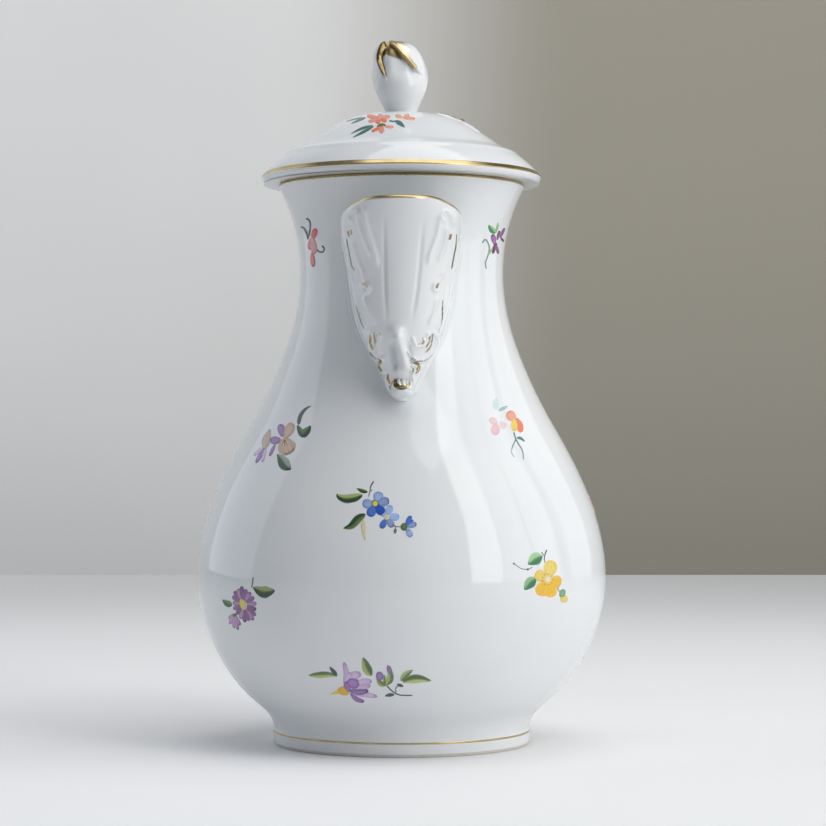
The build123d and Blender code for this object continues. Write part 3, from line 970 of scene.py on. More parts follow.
def handle_relief(s, t):
    """Height, gilding, and pooled glaze and painted shade of the moulding; s runs along it and t
    around it from outside.
    """
    length, away = s[-1], np.abs(t)
    inner_side = smoothstep(2.0, 2.5, away)
    outer_side = 1 - inner_side
    ends = smoothstep(2.0, 7.0, s) * smoothstep(length - 3.0, length - 9.0, s)
    groove, second = bell(away - 0.56, 0.17), bell(away - 1.28, 0.15)
    height = 0.20 * bell(t, 0.26) - 0.55 * groove - 0.30 * second
    gold = np.zeros_like(s)
    # pooled glaze and painted shade in the grooves, and between the leaves' veins
    pooled_glaze_and_shade = 0.55 * groove + 0.3 * second
    for first, last, widest, lobes in LEAVES:
        share = np.clip((s - first) / (last - first), 0, 1)
        waves = np.abs(np.sin(share * math.pi * lobes)) ** 0.6
        edge_at = widest * np.sin(math.pi * share**0.8) ** 0.7 * (0.78 + 0.22 * waves)
        within = ((s > first) & (s < last)).astype(float)
        gap = (edge_at - away) * 5.0
        leaf_mask = smoothstep(-0.15, 0.25, gap) * within
        vein = np.cos((away * 2.6 - share * lobes) * TURN) * smoothstep(0.1, 0.4, away)
        veined = 0.14 + 0.13 * vein * smoothstep(0.2, 1.6, gap)
        height = (height * (1 - 0.85 * leaf_mask) + leaf_mask * veined
                  + 0.22 * bell(gap - 0.35, 0.30) * within
                  - 0.30 * bell(gap + 0.45, 0.40) * within)
        rim = bell(gap - 0.25, 0.22) * within * smoothstep(0.03, 0.12, share)
        gold = highest(gold, rim * smoothstep(0.25, 0.6, waves),
                       bell(t, 0.10) * leaf_mask * smoothstep(0.75, 0.95, share))
        pooled_glaze_and_shade = pooled_glaze_and_shade * (1 - leaf_mask) + leaf_mask * 0.3 * smoothstep(0.3, -0.6, vein)
    plain = smoothstep(40.0, 46.0, s) * smoothstep(72.0, 66.0, s)
    dashes = smoothstep(-0.2, 0.3, np.sin(s * 0.9))
    gold = np.maximum(gold, bell(away - 0.93, 0.06) * plain * dashes * 0.9)
    height = (height - 0.28) * (1 - 0.8 * inner_side) * ends
    return height, smoothstep(0.4, 0.7, gold) * outer_side * ends, pooled_glaze_and_shade * ends * outer_side


def ear_handle():
    felt = felt_line()
    walk = np.r_[0, np.cumsum(np.linalg.norm(np.diff(felt, axis=0), axis=1))]
    along = np.linspace(0, walk[-1], HANDLE_ROWS)
    centres = np.zeros((HANDLE_ROWS, 3))
    for axis in (1, 2):
        centres[:, axis] = smoothed(np.interp(along, walk, felt[:, axis]), 21)
    ahead = np.gradient(centres, axis=0)
    ahead /= np.linalg.norm(ahead, axis=1)[:, None]
    outward = np.c_[np.zeros(HANDLE_ROWS), ahead[:, 2], -ahead[:, 1]]
    if ((centres - EAR_CENTRE) * outward).sum() < 0:
        outward = -outward
    halves = handle_halves(along, centres, outward)

    s, wide, thick = (np.repeat(values, HANDLE_AROUND) for values in (along, *halves))
    t = np.tile(circle(HANDLE_AROUND, -math.pi), HANDLE_ROWS)
    relief, gilt, pooled_glaze_and_shade = handle_relief(s, t)
    out = np.repeat(outward, HANDLE_AROUND, axis=0)
    flat = np.zeros((len(t), 2))
    side = np.c_[np.sin(t) / wide, flat] + (np.cos(t) / thick)[:, None] * out
    side /= np.linalg.norm(side, axis=1)[:, None]
    points = (np.repeat(centres, HANDLE_AROUND, axis=0) + np.c_[wide * np.sin(t), flat]
              + (thick * np.cos(t))[:, None] * out + side * relief[:, None])
    flare = joining(points)[2]
    points = points + side * np.minimum(flare, GREATEST_FLARE)[:, None]
    faces = grid_faces(HANDLE_ROWS, HANDLE_AROUND, wrap=True, ends=True)
    moulded("ear_handle", points, faces, gilt, pooled_glaze_and_shade, "handle")


ear_handle()

# --- the scrolls on the handle
THUMB_CURL, TAIL_CURL = 4.6, 4.2        # radii
SPIRAL_TURN = math.radians(560)
VOLUTE_AROUND = 56


def volute(name, node, curl_radius, centre, foot):
    """A ribbon of clay that leaves the handle at its foot and rolls up on itself."""
    turns = np.linspace(0, 1, 150)
    start = math.atan2(foot[1] - centre[1], foot[0] - centre[0])
    angle = start - turns * SPIRAL_TURN
    radius = (curl_radius - 0.85) * (1 - 0.80 * turns)
    spiral = centre + np.c_[np.cos(angle), np.sin(angle)] * radius[:, None]
    share = np.linspace(0, 1, 60)[:-1, None]
    bend = (share**3 - share**2) * np.array([math.sin(start), -math.cos(start)])
    lead = np.linspace(foot, spiral[0], 60)[:-1] + bend * np.linalg.norm(spiral[0] - foot) * 1.2
    path = np.vstack([lead, spiral])
    place = np.linspace(0, 1, len(path))
    half_wide = (box_of(node)[1][0] - 0.35) * (0.62 + 0.38 * smoothstep(0.0, 0.35, place))
    half_wide = half_wide * (1 - 0.10 * smoothstep(0.5, 1.0, place))
    half_high = 0.80 * (1 - 0.35 * place) + 0.25 * smoothstep(0.3, 0.0, place)

    place, half_wide, half_high = (np.repeat(values, VOLUTE_AROUND)
                                   for values in (place, half_wide, half_high))
    turn = np.tile(circle(VOLUTE_AROUND), len(path))
    x, up = (np.copysign(np.abs(wave) ** 0.75, wave) for wave in (np.cos(turn), np.sin(turn)))
    ripple = np.cos(x * math.pi * 5)
    dish = 0.30 * (1 - x**2) * up
    off = up * half_high * (1 - dish * 0.4) + 0.09 * ripple * up
    flat = np.repeat(path, VOLUTE_AROUND, axis=0)
    flat = flat + np.repeat(left_of(path), VOLUTE_AROUND, axis=0) * off[:, None]
    gilt = smoothstep(0.35, 0.6, np.abs(x) ** 10 * smoothstep(0.12, 0.3, place))
    # pooled glaze and painted shade in the ripples' troughs
    pooled_glaze_and_shade = 0.5 * smoothstep(0.2, -0.6, ripple) * np.abs(up)
    faces = grid_faces(len(path), VOLUTE_AROUND, wrap=True, ends=True)
    moulded(name, np.c_[x * half_wide, flat], faces, gilt, pooled_glaze_and_shade, node)


thumb_low, thumb_high = (corner[1:] for corner in box_of("handle_thumb_scroll"))
tail_low, tail_high = (corner[1:] for corner in box_of("handle_tail_scroll"))
volute("thumb_scroll", "handle_thumb_scroll", THUMB_CURL, thumb_high - THUMB_CURL,
       thumb_low + [1.0, 0.6])
volute("tail_scroll", "handle_tail_scroll", TAIL_CURL, tail_low + TAIL_CURL,
       tail_high - [1.2, 1.4])

# --- flower sprigs in overglaze enamel, painted in the camera's view
def pigment(look):
    """A pigment's reflectance from its look on the glaze: red,green,blue out of 255."""
    c = ((np.array(look.split(","), float) / 255 + 0.055) / 1.055) ** 2.4
    return c * min(1.22, 0.80 / c.max())


def pigments(table):
    words = table.split()
    return {name: pigment(look) for name, look in zip(words[::2], words[1::2])}


PIGMENTS = pigments("""
leaf_dark 50,72,52  leaf_mid 92,118,72  leaf_light 160,172,108  green_deep 48,112,74
green_fresh 150,190,142  teal 62,106,104  teal_pale 186,210,208  twig 84,92,92  sage 138,158,146
moss 104,140,122  beige 196,174,158  taupe 150,122,112  fawn 156,132,112  bark 150,116,92
umber 120,82,70  wine 118,78,78  russet 176,84,50  apricot 216,150,84  yellow_deep 216,154,46
yellow_mid 241,199,66  yellow_light 247,226,116  stamens 230,210,120  honey 204,176,88
wheat 196,170,96  barley 200,176,110  pale_stamens 246,238,200  straw 176,172,120
linen 184,178,150  blush 238,214,220  blush_deep 226,180,190  shell 242,208,214
shell_deep 228,168,178  pearl 240,222,226  pearl_deep 236,204,208
""")
TONES = ("deep", "mid", "light")
HUES = {
    "blues": "36,68,148 78,116,194 170,194,232",
    "violets": "90,58,114 154,120,176 212,194,222",
    "mauves": "92,60,102 136,98,146 184,152,192",
    "plums": "50,16,50 94,34,90 156,98,156",
    "yellows": "216,154,46 241,199,66 247,226,116",
    "roses": "158,62,74 210,112,112 238,190,190",
    "corals": "210,92,62 240,138,104 250,186,158",
}
HALO = pigment("205,208,212")    # where paint thins out at a mark's rim


def strip(line, half_widths, colour_at, across=9):
    """Points in pixels along both sides of a line; colour_at(s, v) with v from -1 to 1 across."""
    count = len(half_widths)
    line = curve_through(line, count)
    v = np.linspace(-1, 1, across)
    points = line[:, None] + left_of(line)[:, None] * (half_widths[:, None] * v)[..., None]
    s, v = np.meshgrid(np.linspace(0, 1, count), v, indexing="ij")
    colours = np.broadcast_to(colour_at(s[..., None], v[..., None]), (*s.shape, 3))
    rim = (np.abs(v) > 0.99) | (s < 1e-6) | (s > 1 - 1e-6)
    return points.reshape(-1, 2), grid_faces(count, across), colours.reshape(-1, 3), rim.ravel()


def leaf(line, width, light, dark, lit=0, belly=0.45):
    """A pointed leaf; lit says which side of its vein is the lighter one."""
    s = np.linspace(0, 1, max(int(width * 2.2), 14))
    halves = width / 2 * np.sin(math.pi * s ** (math.log(0.5) / math.log(belly))) ** 0.8

    def colour(s, v):
        share = smoothstep(-0.3, 0.4, v * lit) if lit else 1 - np.abs(v) ** 1.8
        share = share * (1 - 0.55 * smoothstep(0.16, 0.0, np.abs(v)))
        share = share * (1 - 0.8 * smoothstep(0.80, 1.0, s)) * (1 - 0.35 * np.abs(v) ** 6)
        return dark + (light - dark) * share

    return strip(line, halves, colour)


def petal(ends, width, inner, rim, bend=0.0, edge=3.0):
    """A round-ended petal from its base to its tip, darker along the rim."""
    base, tip = np.array(ends)
    sway = np.array([-(tip - base)[1], (tip - base)[0]]) * bend
    s = np.linspace(0, 1, 15)
    rounded = np.sqrt(np.clip(1 - ((s - 0.56) / 0.44) ** 2, 0, 1))
    narrowed = 0.30 + 0.70 * np.sin(s / 0.56 * math.pi / 2)

    def colour(s, v):
        share = np.abs(v) ** edge + smoothstep(0.72, 1.0, s) + 0.35 * smoothstep(0.3, 0.0, s)
        streaks = 0.24 * np.cos(v * 11) * smoothstep(0.1, 0.5, s)
        return inner + (rim - inner) * np.clip(np.clip(share, 0, 1) + streaks, 0, 1)

    middle = (base + tip) / 2 + sway
    return strip([base, middle, tip], width / 2 * np.where(s > 0.56, rounded, narrowed), colour)


def stem(line, width, colour, taper=0.45):
    s = np.linspace(0, 1, 22)
    return strip(line, width / 2 * (1 - taper * s), lambda s, v: colour + 0 * s, 5)


def spot(centre, across, down, inner, rim, tilt=0.0):
    """An oval dab of paint; tilt turns it clockwise, in degrees."""
    rings, around = 6, 22
    radius = np.repeat(np.linspace(0, 1, rings), around)
    angle = np.tile(circle(around), rings)
    flat = np.c_[across / 2 * np.cos(angle), down / 2 * np.sin(angle)] * radius[:, None]
    c, s = math.cos(math.radians(tilt)), math.sin(math.radians(tilt))
    points = flat @ np.array([[c, s], [-s, c]]) + centre
    colours = inner + (rim - inner) * (radius**2.5)[:, None]
    return points, grid_faces(rings, around, wrap=True), colours, radius > 0.99


def dots(middle, count, across, down, size, colour):
    """Small dots on an oval."""
    turns = [TURN * k / count for k in range(int(count))]
    return [spot(middle + np.array([across * math.cos(a), down * math.sin(a)]), size, size,
                 colour, colour) for a in turns]


def rays(middle, count, width, deep, mid, light):
    """A ring of narrow petals, seen aslant."""
    tilt = math.radians(-17)
    marks = []
    for k in range(int(count)):
        a = TURN * k / count + 0.12
        x, y = 11.8 * math.cos(a), 18.4 * math.sin(a)
        tip = np.array([x * math.cos(tilt) - y * math.sin(tilt),
                        x * math.sin(tilt) * 0.9 + y * math.cos(tilt)])
        tip = tip * (1 + 0.05 * math.cos(k * 2.4))
        ends = np.vstack([middle + 0.25 * tip, middle + np.array([0.9, 0]) + tip])
        marks.append(petal(ends, width, mid if k % 3 else light, deep if k % 2 else mid, 0, 2.0))
    return marks


# each row is one mark, in the order painted: its points in the photograph's pixels, then its
# measures and pigments, as its function takes them; *number lightens or darkens a pigment, and
# deep, mid and light are the hue's own
FLOWERS = {
    "forget_me_nots": """
stem 373.8,481 370.8,486.3 370,491 368.5,497  1.9 twig
stem 372.4,489.6 370.6,491.5  1.2 twig
leaf 363,494.5 354,497.9 345.5,498.8 339,496.6 336.6,493.6  9.4 leaf_light leaf_dark 1 .36
leaf 368,492 362.5,491 356.6,488.2  4.6 leaf_mid leaf_dark 1
leaf 363.6,518.5 363.4,528.8 365.6,541  5 pale_stamens straw
leaf 366,514 358.5,518.5 351,526 343,528.4  8.6 leaf_mid leaf_dark -1 .42
petal 386.8,515.5 391.4,505  7.8 light*1.02 mid*1.3 0 5
petal 388.8,517.4 399.8,516.6  8.2 light*1.04 mid*1.4 0 5
petal 385.4,516 379.4,511.4  5.6 light mid
petal 388,518.5 392.8,527.4  7.4 light*.8 deep
petal 385.8,519 381,528.6  7 mid deep
petal 376,502.4 380.2,491.6  11.4 light mid .02
petal 377,503 389.6,500.4  10.4 light*.75 deep*1.2
petal 373.8,504.2 362.2,503.4  10.6 light*.9 mid 0 2.5
petal 374.4,504.8 369.2,516.8  10.4 mid deep 0 2.5
petal 376.2,505 383.6,514.4  10.6 deep*1.5 deep 0 2
spot 375.1,503.7  8.6 8.6 leaf_mid leaf_dark
spot 375.1,503.6  6.6 6.8 stamens honey
spot 386.7,517.3  6.2 6.2 pale_stamens linen
spot 386.7,517.3  3.4 3.4 stamens wheat
stem 392.4,523.6 396,526.4 401.6,526.8  1.2 twig
stem 395.6,526 395.3,530  .9 twig
spot 395.3,531  3.2 5.6 leaf_mid twig 10
petal 406,524.4 411.4,515.6  5.4 mid deep
petal 407,528 411.4,537.2  7 light mid
petal 406.4,526 417,523.8  6.4 light*.8 deep*1.2
petal 406.4,525.6 413.4,519.8  4 mid deep
spot 404.2,526.7  7.4 8.4 leaf_mid leaf_dark 20
stem 403,529.4 407.6,530.6 410.8,530.4  1.2 leaf_dark
""",
    "aster": """
stem 253.1,577.2 252.5,583 251.6,588  1.7 twig .2
leaf 252.8,587 262,591.8 268,591.8 275.2,590.6  13 leaf_light*.85 leaf_dark -1 .48
leaf 232.4,605.4 227.6,603.6 222.2,599.6  7.2 leaf_mid*1.2 leaf_dark*1.4 1
rays 243.6,604.6  17 5.4 deep mid light*.9
petal 234.6,614.6 228.6,618.6  4.2 light mid .03 2
petal 234.6,614.6 229.6,624.4  4.2 light mid .03 2
petal 234.6,614.6 234.2,628.6  4.2 light mid .03 2
petal 234.6,614.6 238.4,630.2  4.2 light deep .03 2
petal 234.6,614.6 240.6,625.6  4.2 light deep .03 2
spot 242.8,604.2  6.8 13.2 stamens barley -14
spot 234.6,615  4.6 3.6 leaf_mid leaf_dark
""",
    "yellow_rose": """
stem 546.8,549.6 545.2,554 544.4,558 545,563  1.8 twig
stem 541.6,552 544,556  1.3 twig
leaf 542.6,555.6 536,558.6 528,564.4  13.4 green_fresh green_deep 1 .5
stem 532.6,567 527.8,569.4 521,568.4 514,563.6  .9 twig .1
spot 527.8,569.4  2.6 2.4 twig twig
spot 513.9,563.6  2.2 2.2 twig twig
leaf 536.4,578.2 530.6,582.4 524.2,590  11.6 green_fresh*.75 green_deep 1 .5
stem 556.6,586 559.6,592.2  1.2 green_deep
spot 564,598.8  8.6 8.2 light yellow_light*.9
spot 562.4,593.4  6.6 9.4 green_fresh*.7 green_deep 16
petal 548.4,577 551.4,560  14.6 light mid .02
petal 545.4,578.4 534.8,573.2  13.2 light*.97 mid
petal 549.8,580.2 561.4,583.4  14.6 mid mid*.9
petal 546.4,581.4 539.8,596  15 mid deep*1.25 .03
petal 549.2,582 551.4,597.6  14.4 mid deep*1.3
spot 547.4,579.4  9.4 9.4 pale_stamens apricot
spot 547.4,579.4  6.4 6.4 pale_stamens yellow_light
dots 547.4,579.4  9 5.6 5.4 1.3 russet
""",
    "crocus": """
leaf 338,676.6 329,674.6 318,675 308,675.4  6.8 leaf_light*1.15 leaf_mid -1 .55
leaf 337.2,676 333.6,671.6 329.2,666.4  4.6 twig leaf_dark
leaf 371.6,676.2 366.8,668 363,657  10 leaf_light leaf_mid*.8 -1 .45
leaf 348,692.4 340,691.6 330,694.4  5 yellow_light stamens
spot 343.6,691  13 9.4 yellow_mid yellow_deep 12
petal 356,683 372.4,681.6  6.4 light mid -.05
petal 356,687 371,685.4  5.4 light*.9 mid .05
petal 352,694 378,696.6  5.2 light mid -.02
petal 350,693 364.6,702  5.2 mid deep .1
petal 344,684 343.8,661.6  5.6 light*.9 mid .1 2
petal 346,684 361.6,674  9 light mid -.16
petal 346,683 352,672.6  6.8 light mid -.1
petal 349,690 369,690.6  7 mid deep .1 1.6
spot 353,683  15 11.6 mid*1.15 deep 24
petal 350,692 346.2,680.4  6.4 mid deep -.1
stem 386,684.6 391.6,690.6 398.4,694.6 405.4,695.4 412.6,695.4  1.5 leaf_dark .1
stem 396,692.8 396.2,687.6 400.4,685.2  1 leaf_dark .2
leaf 394.8,694.6 389.6,695 384.6,696  3.8 twig leaf_dark
leaf 403.6,686.4 400,685.2 396.6,684.2  3.4 twig leaf_dark
leaf 400.6,681.2 405.4,675.2 413.2,669.8  6.6 leaf_light leaf_mid -1
leaf 402.4,682.4 411,679.4 420,678.8 431.6,680.8  9.4 leaf_light*1.2 leaf_mid*.75 1 .48
leaf 385.6,686 380.6,683.4 376.4,678  6 leaf_light leaf_mid -1
leaf 386,686 385.4,681 384.4,674.6  4.4 leaf_light leaf_mid 1
leaf 387,685 390.4,678 389.6,665  7.2 leaf_light leaf_mid -1
leaf 390.4,675 389,669.6 387.6,664.8  4.6 mid deep
spot 379.8,676  8.2 9.2 mid deep -20
""",
    "pansies": """
leaf 298.2,425.6 300.4,415.8 305.6,409 312,405.4  4.6 twig leaf_dark 0 .3
leaf 297,424.6 302.4,433.6 307.4,430.2 311,425.4  8.6 leaf_mid leaf_dark -1
leaf 277,453.6 281.6,459.6 285.6,465.4 291.2,469.6  12.6 sage leaf_dark -1 .55
petal 275.4,443.6 269.4,456.4  3.6 mid deep
petal 265,446 253.6,455.6  4 light mid
petal 265,447 255.6,463.4  4.6 mid deep
petal 266,447.4 262,462.6  3.6 light mid
leaf 264.6,449 266.2,440 270.2,428.6  8.6 beige taupe
petal 283,437 280.2,423.8  8.6 mid deep
petal 281,440 269.8,440.6  8.6 mid deep
petal 285,438 292.6,422.8  10.4 beige fawn
petal 284,438 290.6,454  19 beige bark .05
stem 284.8,439.6 281.4,446.6  1.6 wine .6
stem 284.8,439.6 284.6,447.8  1.6 wine .6
stem 284.8,439.6 288,446.4  1.6 wine .6
spot 285,438.8  3.6 3.2 yellow_mid umber
""",
    "tulip": """
leaf 497.2,410.6 495.4,404 497.4,397  6.2 teal_pale*1.1 teal_pale*.8
leaf 498,410.8 503,408.6 508,405.8  3.6 teal_pale*.8 teal*1.6
petal 497,424 489.6,418.4  7.4 blush blush_deep
petal 495.6,423 495.2,435.4  9.4 shell shell_deep
petal 500,422 505.6,428  7 pearl pearl_deep
stem 512.2,447 511.4,452 514.6,457.4  1.2 teal_pale*.7 .2
stem 513.8,432 515.4,438 518,443.2 522.4,450.8 523.6,459.8  1.7 teal .4
stem 516,438.6 512.6,446.6 511.6,450  1.5 teal*1.3 .4
leaf 516.4,438 520.4,438.2 525,441.8  3.2 teal*1.5 teal
petal 515,421 507.4,411.6  11 light mid*1.05
petal 516,418 521,432.8  7.6 mid deep*1.25 -.06
petal 514,418.6 514.4,431.6  7.4 yellow_light yellow_mid
""",
    "neck_blossom": """
stem 306,218 309.8,221.4 310.2,228 308.6,237  2.6 twig*.8 .1
stem 300.6,226.6 304.2,228.4 306.6,233 308.4,239.6  3 twig*.7 .1
stem 315,247.6 318.6,251.4 322.6,252 324.2,248.6 321.6,245.6  2.2 twig .1
petal 312.4,240 315.8,228  6.8 mid deep
petal 311.4,238 309.8,250  6.4 mid deep
petal 312.6,237 314.6,254.6  7.4 light*.8 mid
petal 312,252 313.4,267.4  5.4 mid deep
spot 312.6,240.6  4.2 7 light mid
""",
    "neck_violets": """
leaf 495.6,233.6 491.8,229.4 488.2,224.6  7 green_fresh*.9 green_deep*1.4 1
leaf 495.4,233.6 497.4,227 498,221.8  2.8 green_fresh green_deep
stem 481.8,243.6 485.2,239.4 488.6,244.4 489.2,250.6 487.2,257.6 485.4,262.6 486.4,269.6  1.9 moss .1
leaf 487.6,256 490,252 493.4,247.6  2.4 green_fresh green_deep
petal 500,238 504.6,227.6  3.4 light*.8 mid
petal 500.4,237 503.8,241.8  2.6 mid deep
petal 497,240 499.6,230.4  3.4 light*.7 deep
petal 494.8,245 492.6,233.8  5.6 light deep
petal 495.6,243 498.2,254.2  3.4 light*.8 mid
petal 494.6,244 492.8,254  3.4 mid deep
spot 495.6,244  3 3 deep deep
""",
    "carnations": """
leaf 366,117.4 356,118.8 345.2,121.8  1.9 teal teal
leaf 366.6,117.4 359,120.2 350.4,124  2.8 teal teal*.8
leaf 374,125.2 362,128.4 349.8,134.4  3.2 teal*1.1 teal*.8 1
leaf 374.6,126 364,131.6 352,138  3.6 teal*1.1 teal*.8 1
leaf 388.4,120.4 392.6,121.4 397.4,121.2  2 teal teal
leaf 394.6,120.6 400,123.4 405.2,127.8  5 teal*1.2 teal*.8
petal 404,118 415.6,118.8  4.4 light mid*1.1
petal 403,117.6 395.2,115.6  4.4 light mid*1.1
petal 403,118.2 409.4,114.6  4.4 light mid
petal 379,118 366.6,115.6  4.8 mid deep*1.1
petal 378,119 368.2,121.8  4.4 light*.9 deep*1.1
petal 379,119 377,124  6.4 mid deep*1.1
petal 380,118 390.6,116.8  4.8 light mid
petal 380,119 387,121.8  4.6 mid deep*1.2
petal 379.4,118.6 381.6,114.4  6.8 light mid
petal 384,126.4 371.4,131.6  4.2 mid deep
petal 383,127.4 380.8,133.4  6.2 light*.9 mid
petal 384.6,126.4 394,127.4  3.4 light mid
leaf 376.6,127 381.6,124.9 386.6,125.6  3.6 leaf_mid leaf_dark
""",
}


def marks_of(flower, hue):
    """A flower's marks in one hue: each with its points in pixels, faces, colours and rim."""
    paints = {**PIGMENTS, **dict(zip(TONES, map(pigment, HUES[hue].split())))}

    def measure_or_paint(word):
        if word[0] in "-.0123456789":
            return float(word)
        name, _, strength = word.partition("*")
        return paints[name] * float(strength or 1)

    kinds = {"leaf": leaf, "petal": petal, "stem": stem, "spot": spot, "dots": dots, "rays": rays}
    marks = []
    for row in FLOWERS[flower].strip().splitlines():
        kind, *words = row.split()
        points, rest = read_row(words)
        made = kinds[kind](points, *map(measure_or_paint, rest))
        marks += made if isinstance(made, list) else [made]
    return marks


PAINTED_BELOW = 186.0       # heights of the pot that sprigs may be on
PAINTED_LID = (8.0, 193.0)  # the lid's least radius and height that they may be on
SEARCH_DEPTH = 74           # how far in front of the pot's axis rays start to look for it
PAINT_LIFT, LAYER_LIFT, RIM_SINK = 0.06, 0.11, 0.03

pot_line = rounded_section(pot_wall, 0.2)
pot_line = pot_line[pot_line[:, 1] < PAINTED_BELOW]
pot_line = pot_line[np.argsort(pot_line[:, 1])]
lid_line = lid_points[::LID_COLUMNS][:lid_rim, 1:] * [-1, 1]
lid_line = lid_line[(lid_line > PAINTED_LID).all(axis=1)]
lid_line = lid_line[np.argsort(lid_line[:, 0])]


def above_pot(p):
    return np.hypot(p[:, 0], p[:, 1]) - np.interp(p[:, 2], pot_line[:, 1], pot_line[:, 0])


def above_lid(p):
    return p[:, 2] - np.interp(np.hypot(p[:, 0], p[:, 1]), lid_line[:, 0], lid_line[:, 1])


def painted_on(above, pixels):
    """Where the camera's rays through some pixels meet a round surface, and its normals there."""
    start = np.array(EYE) / MM
    toward = np.c_[pixels[:, 0] - AXIS_COLUMN, np.full(len(pixels), FOCAL_PX),
                   EYE_ROW - pixels[:, 1]] / FOCAL_PX

    def at(reach):
        return start + toward * reach[:, None]

    first = np.full(len(pixels), -start[1] - SEARCH_DEPTH)
    heights = np.array([above(at(first + step)) for step in range(SEARCH_DEPTH + 1)])
    inside = heights < 0
    cut = np.where(inside.any(0), inside.argmax(0), heights.argmin(0))
    high = first + np.maximum(cut, 1)
    low = high - 1.0
    for _ in range(22):
        middle = (low + high) / 2
        out = above(at(middle)) > 0
        low, high = np.where(out, middle, low), np.where(out, high, middle)
    points = at(high)
    slopes = [above(points + step) - above(points - step) for step in 0.02 * np.eye(3)]
    normals = np.array(slopes).T
    return points, normals / np.linalg.norm(normals, axis=1)[:, None]


def sprig(place, flower, hue, turn=0, shift=(0, 0), mirror=None, body="pot"):
    """A painted sprig; mirror is the column it is flipped about, turn its place round the axis."""
    above = above_pot if body == "pot" else above_lid
    marks = marks_of(flower, hue)
    points, faces, colours, normals = [], [], [], []
    start = 0
    for layer, (pixels, mark_faces, mark_colours, rim) in enumerate(marks):
        if mirror is not None:
            pixels = np.c_[2 * mirror - pixels[:, 0], pixels[:, 1]]
        spots, outward = painted_on(above, pixels + np.array(shift))
        lift = np.where(rim, -RIM_SINK, PAINT_LIFT + LAYER_LIFT * layer / len(marks))
        points.append(spots + outward * lift[:, None])
        faces += [tuple(k + start for k in face) for face in mark_faces]
        colours.append(np.where(rim[:, None], 0.5 * mark_colours + 0.5 * HALO, mark_colours))
        normals.append(outward)
        start += len(spots)
    a = math.radians(turn)
    about = np.array([[math.cos(a), math.sin(a), 0], [-math.sin(a), math.cos(a), 0], [0, 0, 1]])
    mesh_object(f"sprig_{place}", np.vstack(points) @ about, faces, body, PAINT,
                colours=np.vstack(colours), normals=np.vstack(normals) @ about)


# place, flower, hue, then where they apply: turn in degrees, shift in pixels, column it is
# mirrored about, body
SPRIGS = [
    ("forget_me_nots", "forget_me_nots", "blues"),
    ("aster", "aster", "mauves"),
    ("yellow_rose", "yellow_rose", "yellows"),
    ("crocus", "crocus", "violets"),
    ("pansies", "pansies", "violets"),
    ("tulip", "tulip", "corals"),
    ("neck_blossom", "neck_blossom", "roses"),
    ("neck_violets", "neck_violets", "plums"),
    ("lid_carnations", "carnations", "corals", 0, (0, 0), None, "lid"),
    # the far sides carry more of the same flowers, turned, mirrored and in other colours
    ("right_roses", "forget_me_nots", "roses", 98, (22, -18), 375),
    ("left_blues", "yellow_rose", "blues", -98, (-146, -28)),
    ("right_low", "crocus", "yellows", 104, (30, -8), 370),
    ("left_low", "crocus", "roses", -104, (26, -4)),
    ("right_shoulder", "pansies", "yellows", 128, (96, -6)),
    ("left_shoulder", "tulip", "violets", -122, (-96, -2), 510),
    ("back_right", "aster", "roses", 150, (150, 6), 244),
    ("back_left", "forget_me_nots", "blues", -150, (30, 40)),
    ("back_low", "yellow_rose", "yellows", 180, (-142, 74)),
    ("neck_right", "neck_blossom", "blues", 118, (78, 40), 312),
    ("neck_left", "neck_violets", "roses", -118, (-88, 46)),
    ("lid_right", "carnations", "violets", 146, (0, 0), None, "lid"),
    ("lid_left", "carnations", "yellows", -104, (0, 0), 388, "lid"),
]
for placement in SPRIGS:
    sprig(*placement)

# --- floor and backdrop
STAGE_HALF = 3
TABLE_FRONT, TABLE_DEPTH, WALL_GAP = -2.5, 1.09, 0.3
WALL_FOOT, WALL_TOP = -0.8, 2.4
# painted light on the floor: a pool of light around the pot, painted shade further off and in front
FLOOR_WHITE, FLOOR_FAR_SHADE, FLOOR_DIM = (0.88, 0.88, 0.89), (0.65, 0.65, 0.655), (0.68, 0.68, 0.68)
FLOOR_FAR_FROM, FLOOR_FAR_TO = 0.22, 1.00       # how far off the floor turns from white to grey
FLOOR_DIM_FROM, FLOOR_DIM_TO = -0.17, -0.40     # where it grows dim towards the room's dark end
# the wall's right side is greige darkened with painted shade
WALL_PALE, WALL_SHADED_GREIGE = (0.91, 0.905, 0.89), (0.42, 0.392, 0.328)
WALL_PALE_TO, WALL_SHADE_FROM = -0.12, 0.16
PAPER_CLOUD_SCALE = 2.5


def paper(finish, colour):
    cloud = finish.noise(PAPER_CLOUD_SCALE, 2.0)
    return finish.ramp(cloud, (0.4, tuple(0.97 * c for c in colour)), (0.6, colour))


def along_axis(finish, axis, start, end):
    """How far a point is between two places along an axis."""
    parts = finish.node("SeparateXYZ", {"Vector": finish.place}).outputs
    return finish.spread(parts[axis], (start, end), kind="SMOOTHSTEP")


def floor_paper():
    """White paper with a painted pool of light around the pot, turning grey with painted shade
    further off and growing dim in front of it.
    """
    finish = Finish("floor_paper")
    reach = finish.node("VectorMath", {0: finish.place}, operation="LENGTH").outputs["Value"]
    away = finish.spread(reach, (FLOOR_FAR_FROM, FLOOR_FAR_TO), kind="SMOOTHSTEP")
    lit = finish.mix(away, paper(finish, FLOOR_WHITE), FLOOR_FAR_SHADE)
    nearness = along_axis(finish, "Y", FLOOR_DIM_TO, FLOOR_DIM_FROM)
    finish.shade(finish.mix(nearness, FLOOR_DIM, lit), 0.8)
    return finish.material


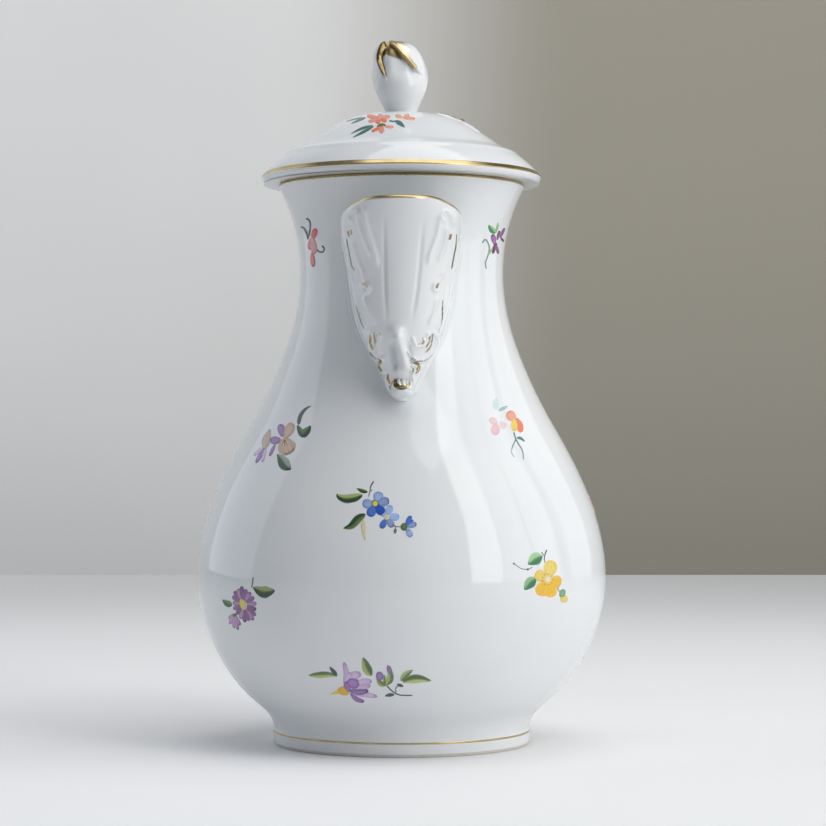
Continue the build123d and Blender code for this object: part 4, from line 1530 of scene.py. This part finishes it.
def wall_paper():
    """A plain wall, pale to the left and greige darkened with painted shade to the right of the pot.
    """
    finish = Finish("backdrop_paper")
    across = along_axis(finish, "X", WALL_PALE_TO, WALL_SHADE_FROM)
    finish.shade(finish.mix(across, paper(finish, WALL_PALE), WALL_SHADED_GREIGE), 0.9)
    return finish.material


def stage_plane(name, front, back, material):
    """A wide plane of the set, from its front edge to its back one, both (y, z)."""
    mesh = bpy.data.meshes.new(name)
    corners = [(side * STAGE_HALF, *edge)
               for side, edge in ((-1, front), (1, front), (1, back), (-1, back))]
    mesh.from_pydata(corners, [], [(0, 1, 2, 3)])
    piece = bpy.data.objects.new(name, mesh)
    piece.data.materials.append(material)
    bpy.context.scene.collection.objects.link(piece)


wall_at = TABLE_DEPTH + WALL_GAP
stage_plane("floor", (TABLE_FRONT, 0), (TABLE_DEPTH, 0), floor_paper())
stage_plane("backdrop", (wall_at, WALL_FOOT), (wall_at, WALL_TOP), wall_paper())


# --- light
def softbox(name, place, aim, width, height, power, colour):
    light = bpy.data.lights.new(name, "AREA")
    light.shape = "RECTANGLE"
    light.size, light.size_y = width, height
    light.energy = power
    light.color = colour
    lamp = bpy.data.objects.new(name, light)
    lamp.location = place
    lamp.rotation_euler = (Vector(aim) - Vector(place)).to_track_quat("-Z", "Y").to_euler()
    bpy.context.scene.collection.objects.link(lamp)


WINDOW_REACH, WINDOW_HEIGHT, WINDOW_AIM = 1.05, 0.86, 0.80
WINDOW_COLOUR = (1.0, 0.985, 0.96)
WINDOWS = ((47, 6.7), (67, 2.8), (88, 2.4))         # bearing in degrees, power in watts
ROOM_COLOUR, ROOM_STRENGTH = (0.62, 0.65, 0.68, 1.0), 0.24

for part, (bearing, power) in enumerate(WINDOWS):
    turn = math.radians(bearing)
    place = (WINDOW_REACH * math.sin(turn), -WINDOW_REACH * math.cos(turn), WINDOW_HEIGHT)
    softbox(f"window_{part}", place, (0, 0, WINDOW_AIM), 0.36, 1.66, power, WINDOW_COLOUR)
softbox("window_back", (1.5, 0.85, 0.62), (0, 0, 0.12), 0.8, 1.3, 2.7, (1.0, 0.99, 0.97))
softbox("left_wall", (-1.35, 0.66, 0.98), (0, 0.66, 0.98), 1.4, 1.9, 8.5, (0.86, 0.92, 1.0))
softbox("ceiling", (0.32, -0.2, 1.9), (0, 0, 0), 1.7, 1.7, 18.3, (0.97, 0.98, 1.0))

world = bpy.data.worlds.new("room")
world.use_nodes = True
bpy.context.scene.world = world
background = world.node_tree.nodes["Background"].inputs
background["Color"].default_value = ROOM_COLOUR
background["Strength"].default_value = ROOM_STRENGTH
